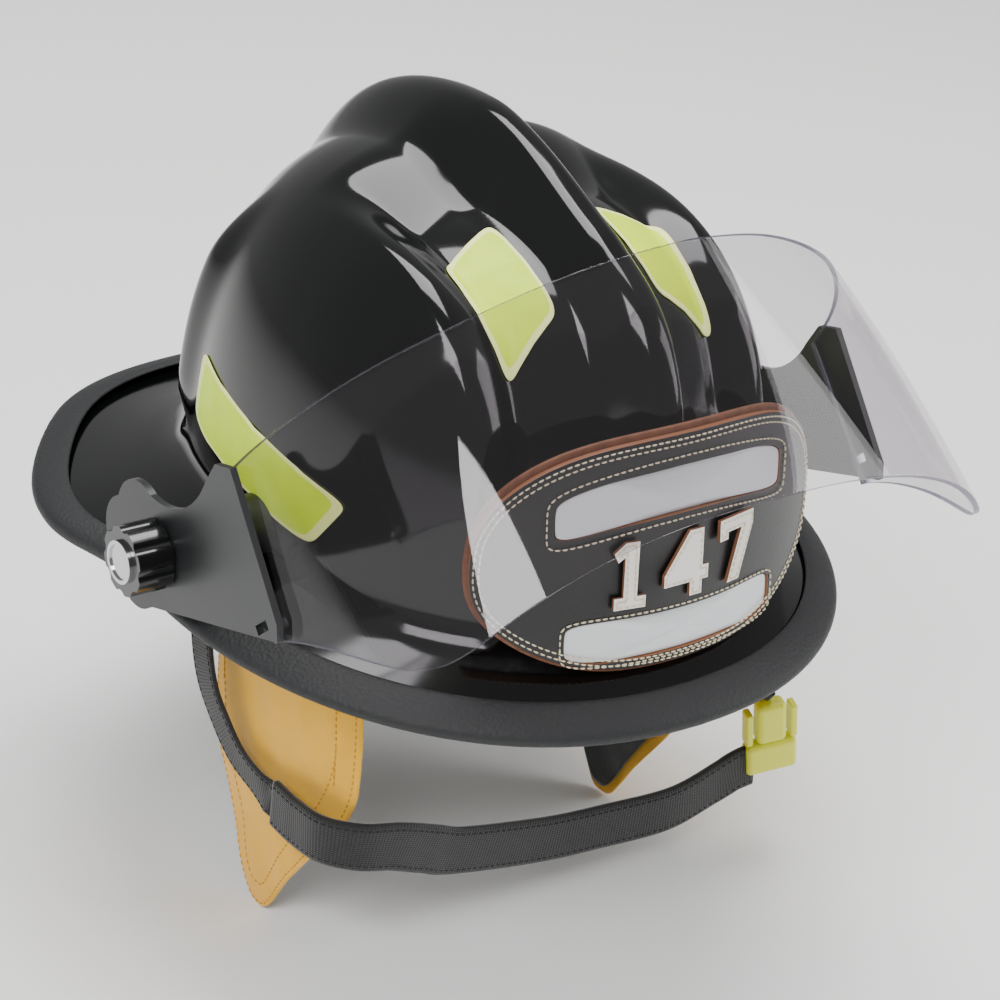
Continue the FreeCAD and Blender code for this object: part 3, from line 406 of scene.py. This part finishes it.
def row_tree():
    """Node tree that puts one item on every guide point, turned by the guide's own rotation."""
    tree = bpy.data.node_groups.new("rows_of_items", "GeometryNodeTree")
    face = tree.interface
    face.new_socket("Geometry", in_out="INPUT", socket_type="NodeSocketGeometry")
    face.new_socket("Item", in_out="INPUT", socket_type="NodeSocketObject")
    face.new_socket("Finish", in_out="INPUT", socket_type="NodeSocketMaterial")
    face.new_socket("Geometry", in_out="OUTPUT", socket_type="NodeSocketGeometry")
    given = tree.nodes.new("NodeGroupInput").outputs
    result = tree.nodes.new("NodeGroupOutput")
    turn = put(tree, "GeometryNodeInputNamedAttribute", {"data_type": "FLOAT_VECTOR", "Name": "turn"})
    shape = put(tree, "GeometryNodeObjectInfo", {"As Instance": True}, Object=given["Item"])
    placed = put(tree, "GeometryNodeInstanceOnPoints", {}, Points=given["Geometry"],
                 Instance=shape.outputs["Geometry"], Rotation=turn.outputs["Attribute"])
    solid = put(tree, "GeometryNodeRealizeInstances", {}, Geometry=placed.outputs["Instances"])
    painted = put(tree, "GeometryNodeSetMaterial", {}, Geometry=solid.outputs["Geometry"], Material=given["Finish"])
    tree.links.new(painted.outputs["Geometry"], result.inputs["Geometry"])
    return tree


ROWS = row_tree()


def row_piece(name, places, shape, mat, body):
    """Repeated items at places, each (point in mm, run, up), as one plain mesh on a body."""
    points = np.array([place[0] for place in places]) * MM
    turns = []
    for _, run, up in places:
        run, up = Vector(run).normalized(), Vector(up).normalized()
        side = up.cross(run).normalized()
        turns.append(tuple(Matrix((run, side, run.cross(side))).transposed().to_euler()))
    guide = bpy.data.meshes.new(name + "_guide")
    guide.from_pydata(points.tolist(), [], [])
    guide.attributes.new("turn", "FLOAT_VECTOR", "POINT").data.foreach_set("vector", np.array(turns, np.float32).ravel())
    holder = bpy.data.objects.new(name, guide)
    bpy.context.scene.collection.objects.link(holder)
    rows = holder.modifiers.new("rows", "NODES")
    rows.node_group = ROWS
    for socket in ROWS.interface.items_tree:
        if socket.in_out == "INPUT" and socket.name == "Item":
            rows[socket.identifier] = shape
        if socket.in_out == "INPUT" and socket.name == "Finish":
            rows[socket.identifier] = mat
    bpy.context.view_layer.update()
    seen = holder.evaluated_get(bpy.context.evaluated_depsgraph_get())
    plain = bpy.data.meshes.new_from_object(seen)
    holder.modifiers.clear()
    holder.data = plain
    plain.polygons.foreach_set("use_smooth", [True] * len(plain.polygons))
    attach(holder, body)
    return holder


def stitch_row(line, up, pitch, close=False):
    """Places every pitch millimetres along a line; up is one vector or one per point."""
    line = np.asarray(line, float)
    up = np.broadcast_to(np.asarray(up, float), line.shape)
    if close:
        line, up = np.vstack([line, line[:1]]), np.vstack([up, up[:1]])
    along = np.concatenate([[0], np.cumsum(np.linalg.norm(np.diff(line, axis=0), axis=1))])
    count = max(2, int(along[-1] / pitch))
    wanted = (np.arange(count) + 0.5) * along[-1] / count
    at = np.stack([np.interp(wanted, along, line[:, k]) for k in range(3)], axis=1)
    ahead = np.stack([np.interp(np.minimum(wanted + 0.6, along[-1]), along, line[:, k]) for k in range(3)], axis=1)
    behind = np.stack([np.interp(np.maximum(wanted - 0.6, 0), along, line[:, k]) for k in range(3)], axis=1)
    ups = np.stack([np.interp(wanted, along, up[:, k]) for k in range(3)], axis=1)
    return [(a, f - b, u) for a, f, b, u in zip(at, ahead, behind, ups)]

# ---------------------------------------------------------------- shell

FOOT, RISE = 21.0, 155.0
HALF, FRONT, BACK = 110.0, 126.0, 139.0
PROFILE = 2.7
WALL = 2.8


def plan(turn, half, front, back, front_power=2.2, back_power=2.2):
    ahead = np.cos(turn) > 0
    exponent = np.where(ahead, front_power, back_power)
    reach = np.where(ahead, front, back)
    return -half * power(np.sin(turn), exponent), -reach * power(np.cos(turn), exponent)


def panel(point):
    """Depth of the two recessed front panels, between the crest and the shoulder on each side."""
    across = np.abs(point[..., 0])
    width = smooth(2.5, 24, across) * (1 - smooth(56, 73, across))
    length = (1 - smooth(-12, 42, point[..., 1])) * smooth(50, 100, point[..., 2])
    return 17.0 * width * length


def relief(point):
    """Crest and rear ribs that stand out from the plain dome, less the front panels."""
    across, y, z = np.abs(point[..., 0]), point[..., 1], point[..., 2]
    crest = np.cos(0.5 * math.pi * np.minimum(1.0, across / 34)) ** 2
    rise = smooth(-60, 20, y)
    fade = np.where(y < 0, rise + 0.3 * (1 - smooth(-105, -70, y)) * smooth(80, 115, z), rise * smooth(80, 165, z))
    bearing = np.degrees(np.arctan2(across, -y))
    rib = np.exp(-((bearing - 137) / 5.5) ** 2)
    band = smooth(22, 50, z) * (1 - smooth(105, 150, z))
    return 17.0 * crest * fade + 7 * rib * band - panel(point)


def dome_base(turn, share, inset=0.0):
    exponent = PROFILE
    height = (1 - share ** exponent) ** (1 / exponent)
    front, back, half, rise = FRONT - inset, BACK - inset, HALF - inset, RISE - inset
    x, y = plan(turn, half, front, back)
    point = stack(x * share, y * share, FOOT + rise * height)
    reach = np.where(point[..., 1] < 0, front, back)
    ring = np.maximum(share, 1e-3)
    slope = ring ** (exponent - 2.2)
    normal = unit(stack(slope * np.sign(x) * np.abs(point[..., 0] / half) ** 1.2 / half,
                        slope * np.sign(y) * np.abs(point[..., 1] / reach) ** 1.2 / reach,
                        np.maximum(height, 0.0) ** (exponent - 1) / rise))
    return point, normal


def share_at(level, inset=0.0):
    return (1 - np.clip((level - FOOT) / (RISE - inset), 0, 1) ** PROFILE) ** (1 / PROFILE)


def dome_above(x, y):
    """Point and normal of the plain dome over a place in plan."""
    part_x, part_y = np.abs(x / HALF), np.abs(y / np.where(y < 0, FRONT, BACK))
    ring = (part_x ** 2.2 + part_y ** 2.2) ** (1 / 2.2)
    turn = np.arctan2(part_x ** 1.1, -np.sign(y) * part_y ** 1.1)
    return dome_base(-np.sign(x) * turn, ring)


def skin(turn, level, lift=0.0):
    """Point and normal on the finished dome at a height of its plain form."""
    point, normal = dome_base(turn, share_at(level))
    return point + normal * (relief(point) + lift)[..., None], normal


def brim_edge(turn):
    x, y = plan(turn, 149.0, 160.0, 206.0, 2.15, 2.8)
    bulge = smooth(34, 85, y) * (1 - smooth(95, 175, y))
    forward = np.cos(turn)
    level = blend(2.0, np.where(forward > 0, -3.0, -3.0), forward ** 2)
    return stack(x * (1 + 0.09 * bulge), y, level)


def brim_top(turn, share):
    x, y = plan(turn, HALF, FRONT, BACK)
    foot = stack(x, y, FOOT)
    dip = np.maximum(0.0, 4.0 * math.sin(math.pi * share) * (0.4 - 0.6 * np.cos(turn)))
    point = foot + (brim_edge(turn) - foot) * share
    point[..., 2] -= dip
    return point


def shell_rings(turn, inset, steps):
    shares = 1 - (1 - np.linspace(0.012, 1, steps)) ** 1.35
    low = FOOT + 12
    rings = []
    for share in shares:
        limit = share_at(low, inset)
        point, normal = dome_base(turn, share * limit, inset)
        rings.append(point + normal * relief(point)[..., None])
    x, y = plan(turn, HALF - inset, FRONT - inset, BACK - inset)
    start, corner = rings[-1], stack(x, y, FOOT - inset + 1)
    finish = brim_top(turn, 0.22)
    finish[..., 2] -= inset
    for share in np.linspace(0, 1, 11)[1:]:
        rings.append((1 - share) ** 2 * start + 2 * share * (1 - share) * corner + share ** 2 * finish)
    for share in np.linspace(0.22, 1, 12)[1:]:
        point = brim_top(turn, share)
        point[..., 2] -= inset
        rings.append(point)
    return rings


around = np.linspace(0, 2 * math.pi, 480, endpoint=False)
rings = shell_rings(around, 0.0, 96)
inside = shell_rings(around, WALL, 40)
shell = ring_piece("shell_skin", rings + inside[::-1], M["shell_gloss"], "helmet")
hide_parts("shell")

# ---------------------------------------------------------------- tapes


def sheet_piece(name, outline, place, depth, mat, body, count=96, shares=None, extra=None, round_by=0.4):
    """Thin shaped piece: outline(turn) gives flat points, place(a, b, lift) bends them; rim is 1 at its border."""
    shares = shares if shares is not None else (0.02, 0.2, 0.4, 0.6, 0.75, 0.86, 0.93, 0.965)
    turn = np.linspace(0, 2 * math.pi, count, endpoint=False)
    a, b = outline(turn)
    mid_a, mid_b = a.mean(), b.mean()
    span = 0.5 * (a.max() - a.min())
    inset = 1 - round_by / span
    rings, rim, flat = [], [], []

    def add(share, lift):
        flat_a, flat_b = mid_a + (a - mid_a) * share, mid_b + (b - mid_b) * share
        rings.append(place(flat_a, flat_b, np.full_like(flat_a, lift)))
        rim.append(np.full(count, share))
        flat.append(stack(flat_a, flat_b, 0.0))

    for share in shares:
        add(share, depth)
    add(inset, depth)
    add(1 - 0.3 * round_by / span, depth - 0.3 * round_by)
    add(1.0, depth - round_by)
    add(1.0, 0.3 * depth)
    add(1.0, 0.0)
    for share in shares[::-2]:
        add(share, 0.0)
    made = ring_piece(name, rings, mat, body, {"rim": rim, "cloth": flat})
    return made


def rounded(half_a, half_b, exponent, mid_a=0.0, mid_b=0.0):
    def outline(turn):
        return mid_a + half_a * power(np.cos(turn), exponent), mid_b + half_b * power(np.sin(turn), exponent)
    return outline


two_tone(M["tape"], "eef2a0", "rim", 0.90, 0.91)
TAPE_SEAT = 0.45
FRONT_TAPE = ((27.7, -24.8), (61.5, -36.3), (60.2, -90.3), (28.8, -82.1))
TAPES = {
    "tape_side": ((68, 62), (118, 77), (118, 46), (76, 37)),
    "tape_rear": ((150, 92), (168, 84), (168, 56), (150, 62)),
}


def four_corners(corners, a, b):
    """Reading between corners given in order from the top: first pair at b = 1, last pair at b = 0."""
    return [blend(blend(corners[3][k], corners[2][k], a), blend(corners[0][k], corners[1][k], a), b) for k in (0, 1)]


def plan_tape(sign):
    def place(a, b, lift):
        x, y = four_corners(FRONT_TAPE, a, b)
        point, normal = dome_above(sign * x, y)
        return point + normal * (relief(point) + lift + TAPE_SEAT)[..., None]
    return place


def turned_tape(sign, corners):
    def place(a, b, lift):
        turn, level = four_corners(corners, a, b)
        return skin(np.radians(turn) * -sign, level, lift + TAPE_SEAT)[0]
    return place


for side, sign in SIDES:
    layout = {"tape_front": plan_tape(sign), **{name: turned_tape(sign, corners) for name, corners in TAPES.items()}}
    for name, place in layout.items():
        made = sheet_piece(f"{name}_film_{side}", rounded(0.5, 0.5, 9.0, 0.5, 0.5), place, 0.5, M["tape"], "helmet",
                           shares=(0.02, 0.15, 0.3, 0.45, 0.6, 0.75, 0.88, 0.905, 0.96), round_by=0.006)
        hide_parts(f"{name}_{side}")

# ---------------------------------------------------------------- leather front piece

BEND, REACH, LEAN = 145.0, 139.0, 0.13
FRONT_FOOT, FRONT_HEIGHT, FRONT_HALF = 14.4, 95.6, 90.0
BACKING, LEATHER = 1.8, 2.6
FACE = BACKING + 0.1 + LEATHER


def front_place(a, b, lift):
    angle = a / BEND
    return stack((BEND + lift) * np.sin(angle), -(REACH + lift - BEND + BEND * np.cos(angle)) + LEAN * (b - FRONT_FOOT), b)


def front_up(a, b):
    return unit(front_place(a, b, np.full_like(a, 5.0)) - front_place(a, b, np.zeros_like(a)))


def front_outline(grow):
    def outline(turn):
        across, height = np.cos(turn), np.sin(turn)
        narrow = 1 - 0.11 * smooth(-0.2, 1.0, height) - 0.10 * smooth(0.3, 1.0, -height)
        return ((FRONT_HALF + grow) * power(across, 2.9) * narrow,
                FRONT_FOOT + FRONT_HEIGHT / 2 + (FRONT_HEIGHT / 2 + grow) * power(height, 2.5))
    return outline


def arch_window(grow):
    def outline(turn):
        across = (57 + grow) * power(np.cos(turn), 6)
        return across, 88 + (10 + grow) * power(np.sin(turn), 6) - 9 * (across / 57) ** 2
    return outline


def bar_window(grow):
    def outline(turn):
        return (52 + grow) * power(np.cos(turn), 6), 28 + (9 + grow) * power(np.sin(turn), 6)
    return outline


STITCH = item("thread_item", 2.3, 0.75, 0.45)


def even(a, b, count=400):
    """The same closed flat outline with evenly spaced points."""
    a, b = np.append(a, a[0]), np.append(b, b[0])
    along = np.concatenate([[0], np.cumsum(np.hypot(np.diff(a), np.diff(b)))])
    wanted = np.linspace(0, along[-1], count, endpoint=False)
    return np.interp(wanted, along, a), np.interp(wanted, along, b)


fine_turn = np.linspace(0, 2 * math.pi, 720, endpoint=False)
borders = [front_outline(-2.0), front_outline(-4.2), arch_window(3.0), bar_window(1.4)]
places = []
for border in borders:
    a, b = even(*border(fine_turn))
    places += stitch_row(front_place(a, b, np.full_like(a, FACE + 0.12)), front_up(a, b), 3.0, close=True)
DIGITS = {
    -26: ((-7, -14), (7, -14), (7, -9), (3, -9), (3, 14), (-3, 14), (-8, 10), (-6, 6), (-3, 8), (-3, -9), (-7, -9)),
    -1: ((2, -14), (8, -14), (8, -8), (11, -8), (11, -2), (8, -2), (8, 14), (1, 14), (-11, -3), (-11, -8), (2, -8)),
    25: ((-5, -14), (2, -14), (10, 8), (10, 14), (-10, 14), (-10, 5), (-5, 5), (-5, 8), (3, 8)),
}


def inset_corners(corners, inset):
    """A closed outline moved inward on every side."""
    corners = np.array(corners, float)
    before, after = np.roll(corners, 1, 0), np.roll(corners, -1, 0)
    normal_in, normal_out = ((unit(end - start)[:, ::-1] * (-1, 1)) for start, end in ((before, corners), (corners, after)))
    total = unit(normal_in + normal_out)
    return corners + total * (inset / np.maximum(0.35, (total * normal_in).sum(-1)))[:, None]


for middle, corners in DIGITS.items():
    ring = inset_corners(corners, 1.3)
    ring = np.vstack([ring, ring[:1]])
    for first, second in zip(ring[:-1], ring[1:]):
        if np.linalg.norm(second - first) > 2.0:
            line = np.linspace(first, second, 12)
            a, b = line[:, 0] + middle, line[:, 1] + 56.0
            places += stitch_row(front_place(a, b, np.full_like(a, FACE + 2.2)), front_up(a, b), 2.4)
row_piece("front_stitches", places, STITCH, M["cream_thread"], "helmet")

# ---------------------------------------------------------------- face shield

HINGE = np.array([0.0, 0.0, 28.0])
RAISE = math.radians(43)
FORWARD = np.array([0, -math.cos(RAISE), math.sin(RAISE)])
UPWARD = np.array([0, math.sin(RAISE), math.cos(RAISE)])
LENS_LOW = ((0, -55.0), (12, -70.0), (22, -83.5), (28, -89.0), (33, -90.0), (40, -87.0), (51, -80.0), (62, -74.5),
            (71, -71.0), (79, -68.5), (90, -67.0))
LENS_HIGH = ((0, 11.0), (8, 14.0), (18, 18.5), (28, 23.0), (40, 28.0), (51, 31.0), (61, 34.0), (70, 36.0), (90, 37.0))


def lens_line(angle, share, lift):
    """One line of the shield from side to side, at a share of the way from its low to its high edge."""
    exponent = blend(2.73, 1.68, share)
    across = (152.5 + lift) * power(np.cos(angle), exponent)
    ahead = 60.0 + (128.0 + lift) * power(np.sin(angle), exponent)
    bearing = np.degrees(np.minimum(angle, math.pi - angle))
    low, high = (np.interp(bearing, *zip(*table)) for table in (LENS_LOW, LENS_HIGH))
    height = smooth_run(blend(low, high, share))
    return HINGE + stack(across, 0.0, 0.0) + ahead[:, None] * FORWARD + height[:, None] * UPWARD


def smooth_run(values, passes=60):
    """Rounds the corners of a run of values, and keeps its ends."""
    for _ in range(passes):
        values = np.concatenate([values[:1], (values[:-2] + 2 * values[1:-1] + values[2:]) / 4, values[-1:]])
    return values


def lens_piece():
    angle = np.linspace(0, math.pi, 260)
    shares = np.concatenate([[0.0, 0.004, 0.012], np.linspace(0.04, 0.96, 24), [0.988, 0.996, 1.0]])
    section = [(share, 0.0, 0.0) for share in shares]
    section += [(1.0, -0.5, 1.0), (1.0, -1.3, 1.0), (1.0, -2.1, 1.0)]
    section += [(share, -2.6, 0.0) for share in shares[::-1]]
    section += [(0.0, -2.1, 1.0), (0.0, -1.3, 1.0), (0.0, -0.5, 1.0)]
    lines = [lens_line(angle, share, lift) for share, lift, _ in section]
    marks = np.broadcast_to([mark for _, _, mark in section], (len(angle), len(section))).copy()
    grid = np.stack(lines, axis=1)
    for end, sign in ((0, 1), (-1, -1)):
        grid[end, :, 0] = sign * np.array([152.5 + lift for _, lift, _ in section])
        marks[end] = 1.0
    made = ring_piece("visor_shield", grid, M["visor_clear"], "visor", {"rim": marks})
    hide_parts("visor_lens")


lens_piece()

# ---------------------------------------------------------------- ear covers

EAR_MIDDLE, EAR_HALF, EAR_DROP, EAR_TOP = -1.0, 56.0, 163.0, 33.4


def ear_outline(grow):
    def outline(turn):
        across, height = np.cos(turn), np.sin(turn)
        b = blend(-EAR_DROP, EAR_TOP, 0.5 + 0.5 * power(height, 3.0))
        narrow = 1 - 0.75 * smooth(71, 171, -b)
        return EAR_MIDDLE + (EAR_HALF + grow) * power(across, 3.2) * narrow, b + np.where(height > 0, grow, -grow)
    return outline


def ear_place(sign, seed, seat):
    def place(a, b, lift):
        flat = stack(a, b, 0.0)
        low = smooth(-10, -110, b)
        bow = 8.5 * ((a - EAR_MIDDLE) / EAR_HALF) ** 2
        billow = 1.6 * waves(flat, seed, 70.0) * low + 0.5 * waves(flat, seed + 1, 24.0) * smooth(0, -40, b)
        return stack(sign * (98.2 - bow + 0.02 * b + seat + lift + billow), a, b)
    return place


for side, sign in SIDES:
    seed = 11 if sign < 0 else 12
    place = ear_place(sign, seed, 0.0)
    cover = sheet_piece(f"ear_cover_cloth_{side}", ear_outline(0.0), place, 1.8, M["cover_cloth"], "helmet",
                        count=140, shares=tuple(np.linspace(0.02, 0.985, 40)), round_by=0.8)
    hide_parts(f"ear_cover_{side}")
    lining = sheet_piece(f"ear_lining_cloth_{side}", ear_outline(-5.0), ear_place(sign, seed, -2.6), 2.2, M["flannel"],
                         "helmet", count=140, shares=tuple(np.linspace(0.02, 0.98, 40)), round_by=1.0)
    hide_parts(f"ear_lining_{side}")
    places = []
    for grow in (-2.0, -12.0):
        a, b = even(*ear_outline(grow)(fine_turn))
        line = place(a, b, np.full_like(a, 1.9))
        places += stitch_row(line, (sign, 0, 0), 3.2, close=True)
    row_piece(f"ear_stitches_{side}", places, STITCH, M["gold_thread"], "helmet")

# ---------------------------------------------------------------- chinstrap

RIGHT_RUN = ((-101.6, 45, 8.5), (-105.5, 44.5, -6), (-108, 42, -30), (-108, 38, -52), (-107.5, 33, -66),
             (-106.5, 25, -77), (-105.5, 11, -89), (-104.8, -7, -94.5), (-104.8, -19, -96))
WIDE_RUN = ((-104.8, -20, -96), (-104.8, -36, -96), (-103, -54, -94.5), (-91, -65, -95.5), (-73.6, -67, -99.5),
            (-56, -66, -107), (-37.7, -64, -115), (9.5, -62, -126), (43, -63, -129), (80, -65, -130),
            (108, -63, -126), (120, -63, -122.5), (130, -63, -121.5))
LEFT_RUN = ((101.6, 45, 8.5), (106, 42, -8), (110, 26, -30), (116, -2, -50), (123, -36, -66), (127, -56, -76),
            (129.8, -67.6, -84.3))
for name, run, across, width, depth in (("right", RIGHT_RUN, (0, 1, 0), 16.0, 2.2), ("left", LEFT_RUN, (0, 1, 0), 16.0, 2.2),
                                        ("wide", WIDE_RUN, (0, 0, 1), 23.0, 3.6)):
    made, line, side, through, length = strap(f"chinstrap_{name}_webbing", run, across, width, depth, M["webbing"],
                                              "chinstrap")
    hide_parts(f"chinstrap_{name}")
    places = []
    for offset in (-0.38, 0.38):
        for face in (-1, 1):
            rowline = line + side * width * offset + through * (face * (depth / 2 + 0.05))
            places += stitch_row(rowline, through * face, 3.4)
    row_piece(f"chinstrap_{name}_stitches", places, STITCH, M["black_thread"], "chinstrap")

# ---------------------------------------------------------------- inside pads and straps


def head_outline(turn, grow):
    return plan(turn, 78 + grow, 98 + grow, 98 + grow)


def band_pad(name, first, last, height, mat, replaced):
    count = 90
    rings, flat = [], []
    for share in np.linspace(0, 1, count):
        turn = math.radians(blend(first, last, share))
        end = math.sqrt(max(0.02, 1 - abs(2 * share - 1) ** 10))
        x, y = head_outline(np.array(turn), -3.8)
        out = np.array([-math.sin(turn), -math.cos(turn), 0.0])
        marks = strip_section(height * end, 3.5 * end)
        centre = np.array([float(x), float(y), 0.0]) + out * 1.75
        puff = 1 + 0.35 * np.cos(np.clip(marks[:, 0] / height * 2, -1, 1) * math.pi / 2) * (marks[:, 1] < 0)
        rings.append(centre + np.outer(marks[:, 0], (0, 0, 1)) + np.outer(marks[:, 1] * puff, out))
        flat.append(stack(np.full(len(marks), share * 200), marks[:, 0], 0.0))
    made = ring_piece(name, rings, mat, "helmet", {"cloth": flat})
    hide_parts(replaced)


band_pad("brow_pad_cloth", -72, 72, 36, M["flannel"], "brow_pad")
band_pad("nape_pad_cloth", 142, 218, 34, M["flannel"], "nape_pad")


def dish(a, b, lift):
    return stack(a, b, 114.8 + lift - 1.2 * (a ** 2 + b ** 2) / 34 ** 2)


crown = sheet_piece("crown_pad_cloth", rounded(34, 34, 2.4), dish, 2.2, M["flannel"], "helmet",
                    shares=tuple(np.linspace(0.02, 0.97, 20)), round_by=1.0)
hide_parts("crown_pad")

crown_rows = []
for index, bearing in enumerate((35.0, 90.0, 145.0)):
    ends = []
    for turn in (bearing, bearing + 180):
        x, y = head_outline(np.array(math.radians(turn)), 3.4)
        ends.append(np.array([float(x), float(y), 0.0]))
    start, finish = ends
    level = 118 + index * 1.6
    angle = np.linspace(0, math.pi, 41)
    share = 0.5 - 0.5 * power(np.cos(angle), 2.4)
    points = start + (finish - start) * share[:, None]
    points[:, 2] = 22.4 + (level - 22.4) * np.sin(angle) ** (2 / 2.4)
    across = np.cross((0, 0, 1), finish - start)
    crown_rows.append((points, across))
made = None
for index, (points, across) in enumerate(crown_rows):
    made = strap(f"crown_strap_{index + 1}_webbing", points, across, 19.0, 1.2, M["webbing"], "helmet")[0]
    if index == 0:
        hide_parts("crown_straps")

# ---------------------------------------------------------------- finishes of the remaining solids


SLOTS = {entry["node"]: entry["material_slot"] for entry in frame["record"]["subparts"]}
for name, made in frame["nodes"].items():
    made.data.materials.clear()
    made.data.materials.append(M[SLOTS[name]])

# ---------------------------------------------------------------- floor, light and camera


def studio():
    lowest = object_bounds()[0].z
    bpy.ops.mesh.primitive_plane_add(size=8, location=(0, 0, lowest - 0.001))
    floor = bpy.context.object
    floor.name = "floor"
    floor.data.materials.append(material("pale_floor", "f4f4f3", 0.9))
    floor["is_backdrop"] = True
    world = bpy.data.worlds.new("studio")
    world.use_nodes = True
    world.node_tree.nodes["Background"].inputs[0].default_value = (1, 1, 1, 1)
    world.node_tree.nodes["Background"].inputs[1].default_value = 0.42
    bpy.context.scene.world = world
    for name, place, aim, size, watts in (("key", (-1.5, -0.9, 1.6), (0, 0, 0.08), (1.2, 0.9), 46),
                                          ("top", (0.2, 0.4, 2.0), (0, 0, 0.1), (1.6, 1.1), 52),
                                          ("fill", (1.7, -1.1, 0.8), (0, 0, 0.06), (0.9, 1.2), 20)):
        lamp = bpy.data.lights.new(name, "AREA")
        lamp.shape = "RECTANGLE"
        lamp.size, lamp.size_y, lamp.energy = size[0], size[1], watts
        made = bpy.data.objects.new(name, lamp)
        made.location = place
        made.rotation_euler = (Vector(place) - Vector(aim)).to_track_quat("Z", "Y").to_euler()
        bpy.context.scene.collection.objects.link(made)
        made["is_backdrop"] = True


def camera():
    azimuth, height, roll = (math.radians(value) for value in (-38.91, 27.8, 6.47))
    back = Vector((math.sin(azimuth) * math.cos(height), -math.cos(azimuth) * math.cos(height), math.sin(height)))
    level = Vector((math.cos(azimuth), math.sin(azimuth), 0))
    up = back.cross(level)
    right = level * math.cos(roll) + up * math.sin(roll)
    above = up * math.cos(roll) - level * math.sin(roll)
    lens = bpy.data.cameras.new("camera")
    lens.sensor_width = 36
    lens.lens = 2.9922 * 36
    lens.clip_start = 0.05
    made = bpy.data.objects.new("camera", lens)
    made.matrix_world = Matrix((right, above, back)).transposed().to_4x4()
    made.location = (back * 1295.2 + right * 13.2 + above * 13.88) * MM
    bpy.context.scene.collection.objects.link(made)
    bpy.context.scene.camera = made


studio()
camera()
